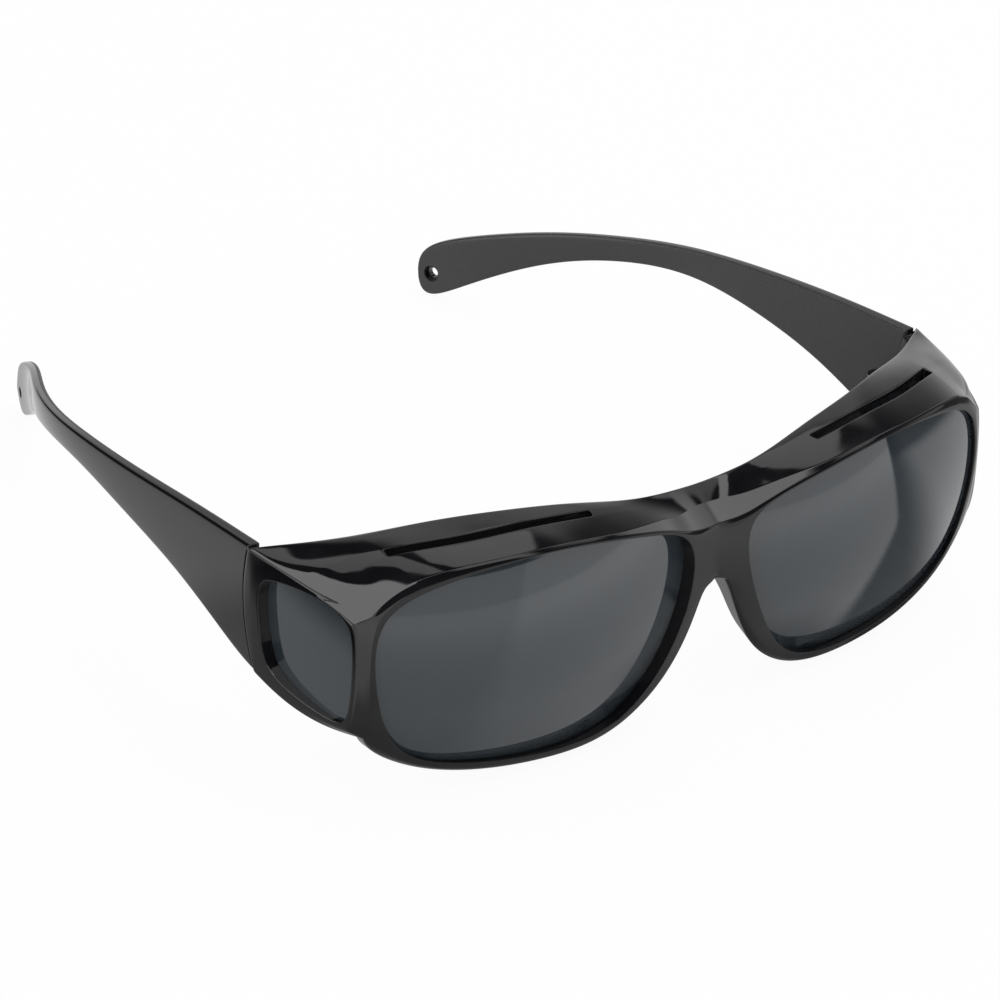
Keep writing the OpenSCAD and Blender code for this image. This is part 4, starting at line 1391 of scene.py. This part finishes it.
class GLASSES_OT_screws(bpy.types.Operator):
    """Make the two hinge screws"""

    bl_idname = "glasses.screws"
    bl_label = "Hinge screws"

    def execute(self, context):
        s = settings()
        steel = screw_steel("turned_screw_steel", s.finish)
        length = (KNUCKLE_TOP - KNUCKLE_FOOT - HEAD_SUNK) * MM
        at = placed([(AXIS_X, AXIS_Y, KNUCKLE_FOOT), (-AXIS_X, AXIS_Y, KNUCKLE_FOOT)])
        mesh = bpy.data.meshes.new("hinge_screws")
        mesh.from_pydata([tuple(p) for p in at], [], [])
        screws = link("hinge_screws_steel", mesh)
        mod = screws.modifiers.new("Screws", "NODES")
        mod.node_group = screw_tree()
        set_inputs(mod, {"Shank radius": s.temple.screw_r, "Length": length, "Tilt": -TILT,
                         "Material": steel})
        apply_modifiers(screws)
        shade(screws, 35)
        material_of(screws, steel)
        hand_over(screws, "front", "screw_steel", "hinge_screw_left", "hinge_screw_right")
        return {"FINISHED"}


def softbox(name, at, aim, size, energy):
    """A square area lamp that looks at a point, and that the gloss doesn't show"""
    lamp = bpy.data.lights.new(name, "AREA")
    lamp.shape, lamp.size, lamp.size_y = "RECTANGLE", size, size
    lamp.energy = energy
    obj = link(name, lamp)
    obj.location = at
    obj.rotation_euler = (Vector(aim) - Vector(at)).to_track_quat("-Z", "Y").to_euler()
    obj.visible_glossy = False


# The camera's own axes, before the glasses are tipped to stand
CAMERA_RIGHT, CAMERA_UP = (0.7927, -0.6094, -0.0143), (0.2650, 0.3235, 0.9083)
CAMERA_AHEAD = (0.5490, 0.7238, -0.4179)


def direction(azimuth, elevation):
    """Unit vector: azimuth 0 looks along +Y and 90 along +X"""
    a, e = math.radians(azimuth), math.radians(elevation)
    return Vector((math.sin(a) * math.cos(e), math.cos(a) * math.cos(e), math.sin(e)))


def panel_mask(t, ray, panel):
    """1 where a ray meets a panel, fading a little at its edges"""
    ahead = direction(panel.azimuth, panel.elevation)
    right = ahead.cross(Vector((0, 0, 1))).normalized()
    right.rotate(Matrix.Rotation(math.radians(panel.roll), 3, ahead))
    up = right.cross(ahead)

    def along_axis(axis):
        """How much of the ray points along an axis"""
        return t.vector_math("DOT_PRODUCT", ray, axis, out=1)

    depth = along_axis(ahead)
    mask = depth.ramp(0.0, 0.05)
    for axis, half in ((right, panel.half_w), (up, panel.half_h)):
        edge = math.tan(math.radians(half))
        offset = abs(along_axis(axis)) / depth
        mask = mask * (1.0 - offset.ramp(edge * (1 - panel.fade), edge * (1 + panel.fade)))
    return mask


Panel = namedtuple("Panel", "azimuth elevation half_w half_h roll strength fade")

# The lit part of the floor, as the gloss shows it: the point where each edge starts, in metres, and
# its heading in degrees from +Y towards +X
LIT_LEFT = ((-0.043, -0.087), 163.7)
LIT_RIGHT = ((0.082, -0.094), 130.7)
LIT_NEAR = ((0.031, -0.072), 113.3)
LIT_FAR = ((0.067, -0.062), 129.8)

# The bright panels of the studio, in degrees as seen from the glasses
PANELS = {
    "wall behind": Panel(37, 30, 10, 10, 0, 0.65, 0.3),
    "window behind": Panel(35, 48, 6.5, 8, 0, 1.2, 0.05),
    "window behind, on the left": Panel(5, 55, 8, 10, 0, 1.2, 0.1),
    "screen on the right": Panel(95, 52, 26, 9, 0, 1.1, 0.3),
    "strip light on the right": Panel(92, 32, 7, 20, 28, 1.7, 0.4),
    "screen over the front": Panel(170, 56, 10, 10, 0, 1.6, 0.3),
    "softbox over the front": Panel(168, 72.5, 31, 5.5, 0, 2.9, 0.2),
    "large softbox on the left": Panel(-91, 36, 31, 34, 0, 3.3, 0.05),
}


class GLASSES_OT_stage(bpy.types.Operator):
    """Make the camera, floor, surroundings and lamps"""

    bl_idname = "glasses.stage"
    bl_label = "Stage"

    def execute(self, context):
        s = settings().stage
        scene = bpy.context.scene
        scene.view_settings.view_transform = "Standard"
        axes = tipped([CAMERA_RIGHT, CAMERA_UP, [-v for v in CAMERA_AHEAD]])
        camera = bpy.data.cameras.new("camera")
        camera.lens, camera.sensor_width = s.focal, 36.0
        camera.clip_start, camera.clip_end = 0.01, 20
        eye = link("camera", camera)
        place = Matrix(axes.tolist()).transposed().to_4x4()
        place.translation = Vector(placed([[v / MM for v in s.camera_at]])[0])
        eye.matrix_world = place
        scene.camera = eye
        self.make_floor()
        self.make_surroundings(scene, s.level)
        softbox("overhead", (0.25, -0.1, 1.0), (0, 0, 0.02), 0.5, 2.4 * s.level)
        return {"FINISHED"}

    def make_floor(self):
        """White, and with bright and darker parts that only the gloss shows"""
        mesh = bpy.data.meshes.new("floor")
        r, drop = 3.0, 0.0002
        mesh.from_pydata([(-r, -r, 0), (r, -r, 0), (r, r, 0), (-r, r, 0)], [], [(0, 1, 2, 3)])
        floor = link("floor", mesh)
        material, t = new_material("white_floor")
        path = t.node("ShaderNodeLightPath")
        gloss = t.out(path, "Is Glossy Ray")
        seen = t.out(path, "Is Camera Ray") + t.out(path, "Is Transmission Ray")
        where = t.parts(t.coordinates())
        x, y = t.out(where, "X"), t.out(where, "Y")

        def beyond(line, soft):
            """1 on the right of a line on the floor, given by a point and a heading"""
            (px, py), heading = line
            a = math.radians(heading)
            return ((x - px) * math.cos(a) - (y - py) * math.sin(a)).ramp(-soft, soft)

        # Ahead of the glasses it is lit, brightest at a distance, with a darker strip under the rims
        ahead = y * -1.0
        lit = 0.55 + ahead.ramp(0.07, 0.20) * 0.5
        lit = lit * (1.0 - ahead.ramp(0.24, 0.27) * 0.2) * (1.0 - beyond(LIT_LEFT, 0.006) * 0.18)
        under_rims = ahead.ramp(0.060, 0.068) * (1.0 - ahead.ramp(0.070, 0.086))
        under_rims = under_rims * (1.0 - x.ramp(0.025, 0.045) * ahead.ramp(0.0715, 0.0735))
        lit = lit * (1.0 - under_rims * (0.25 + x.ramp(-0.02, 0.0) * 0.4))
        # Past the left temple, behind the glasses, and beside the left pillar
        on_left = (x * -1.0).ramp(0.108, 0.124) * (1.0 - ahead.ramp(0.05, 0.08))
        behind = y.ramp(-0.01, 0.012)
        beside = (x * -1.0).ramp(0.140, 0.150) * (1.0 - (x * -1.0).ramp(0.3, 0.4))
        lit = lit * (1.0 - on_left) + on_left * beside * 2.3
        lit = lit * (1.0 - behind) + behind * 0.85
        beside_pillar = (x * -1.0 - (ahead - 0.09) * 0.3).ramp(0.078, 0.094)
        lit = lit + beside_pillar * ahead.ramp(0.06, 0.09) * 0.6
        # The room's shade on the right, which is lighter again in the distance
        inside = beyond(LIT_RIGHT, 0.002) * beyond(LIT_NEAR, 0.002)
        shaded = (1.0 - inside) * x.ramp(0.0, 0.03) * (1.0 - y.ramp(0.0, 0.03))
        past = 0.12 + (1.0 - beyond(LIT_FAR, 0.013)) * 0.45
        past = past * (1.0 - x.ramp(0.17, 0.22) * 0.8)
        lit = lit * (1.0 - shaded) + past * shaded
        strength = gloss * lit + (1.0 - gloss)
        white = t.node("ShaderNodeEmission", {"Color": strength, "Strength": 1.0})
        matte = t.node("ShaderNodeBsdfDiffuse", {"Color": (0.9, 0.9, 0.9, 1)})
        share = (seen * 0.95 + gloss).clamped()
        both = t.node("ShaderNodeMixShader", {0: share, 1: matte, 2: white})
        t.node("ShaderNodeOutputMaterial", {"Surface": both})
        mesh.materials.append(material)
        floor.location.z = -drop

    def make_surroundings(self, scene, level):
        """White behind the glasses, with a darker ceiling and bright panels in their gloss"""
        world = bpy.data.worlds.new("surroundings")
        scene.world = world
        world.use_nodes = True
        world.node_tree.nodes.clear()
        t = Tree(world.node_tree)
        ray = t.coordinates(out=0)
        aim = t.parts(ray)
        right, back, height = t.out(aim, "X"), t.out(aim, "Y"), t.out(aim, "Z")
        room = 0.9 - height.ramp(0.0, 0.62) * 0.86
        room = room * (0.05 + right.ramp(0.28, 0.42) * 0.95)
        room = room * (1.0 - right.ramp(0.5, 0.7) * (1.0 - abs(back).ramp(0.1, 0.4)) * 0.65)
        for panel in PANELS.values():
            mask = panel_mask(t, ray, panel)
            room = room * (1.0 - mask) + mask * panel.strength
        path = t.node("ShaderNodeLightPath")
        seen = t.out(path, "Is Camera Ray") + t.out(path, "Is Transmission Ray")
        gloss = t.out(path, "Is Glossy Ray")
        plain = 0.8 * level
        studio = t.mix_number(gloss, plain, room)
        strength = t.mix_number(seen.clamped(), studio, 1.0)
        sky = t.node("ShaderNodeBackground", {"Color": (1, 1, 1, 1), "Strength": strength})
        t.node("ShaderNodeOutputWorld", {"Surface": sky})


class GLASSES_PT_panel(bpy.types.Panel):
    """Builds the glasses piece by piece"""

    bl_idname = "GLASSES_PT_panel"
    bl_label = "Glasses"
    bl_space_type = "VIEW_3D"
    bl_region_type = "UI"
    bl_category = "Glasses"

    def draw(self, context):
        for op in OPERATORS:
            self.layout.operator(op.bl_idname)


OPERATORS = (GLASSES_OT_stage, GLASSES_OT_front, GLASSES_OT_lenses, GLASSES_OT_temples, GLASSES_OT_screws)
CLASSES = (FrontSizes, LensSizes, TempleSizes, FinishColours, StageSettings, GlassesSettings,
           *OPERATORS, GLASSES_PT_panel)


def register():
    for c in CLASSES:
        bpy.utils.register_class(c)
    bpy.types.Scene.glasses = PointerProperty(type=GlassesSettings)


def unregister():
    del bpy.types.Scene.glasses
    for c in reversed(CLASSES):
        bpy.utils.unregister_class(c)


def main():
    register()
    bpy.ops.glasses.stage()
    bpy.ops.glasses.front()
    bpy.ops.glasses.lenses()
    bpy.ops.glasses.temples()
    bpy.ops.glasses.screws()


if __name__ == "__main__":
    main()
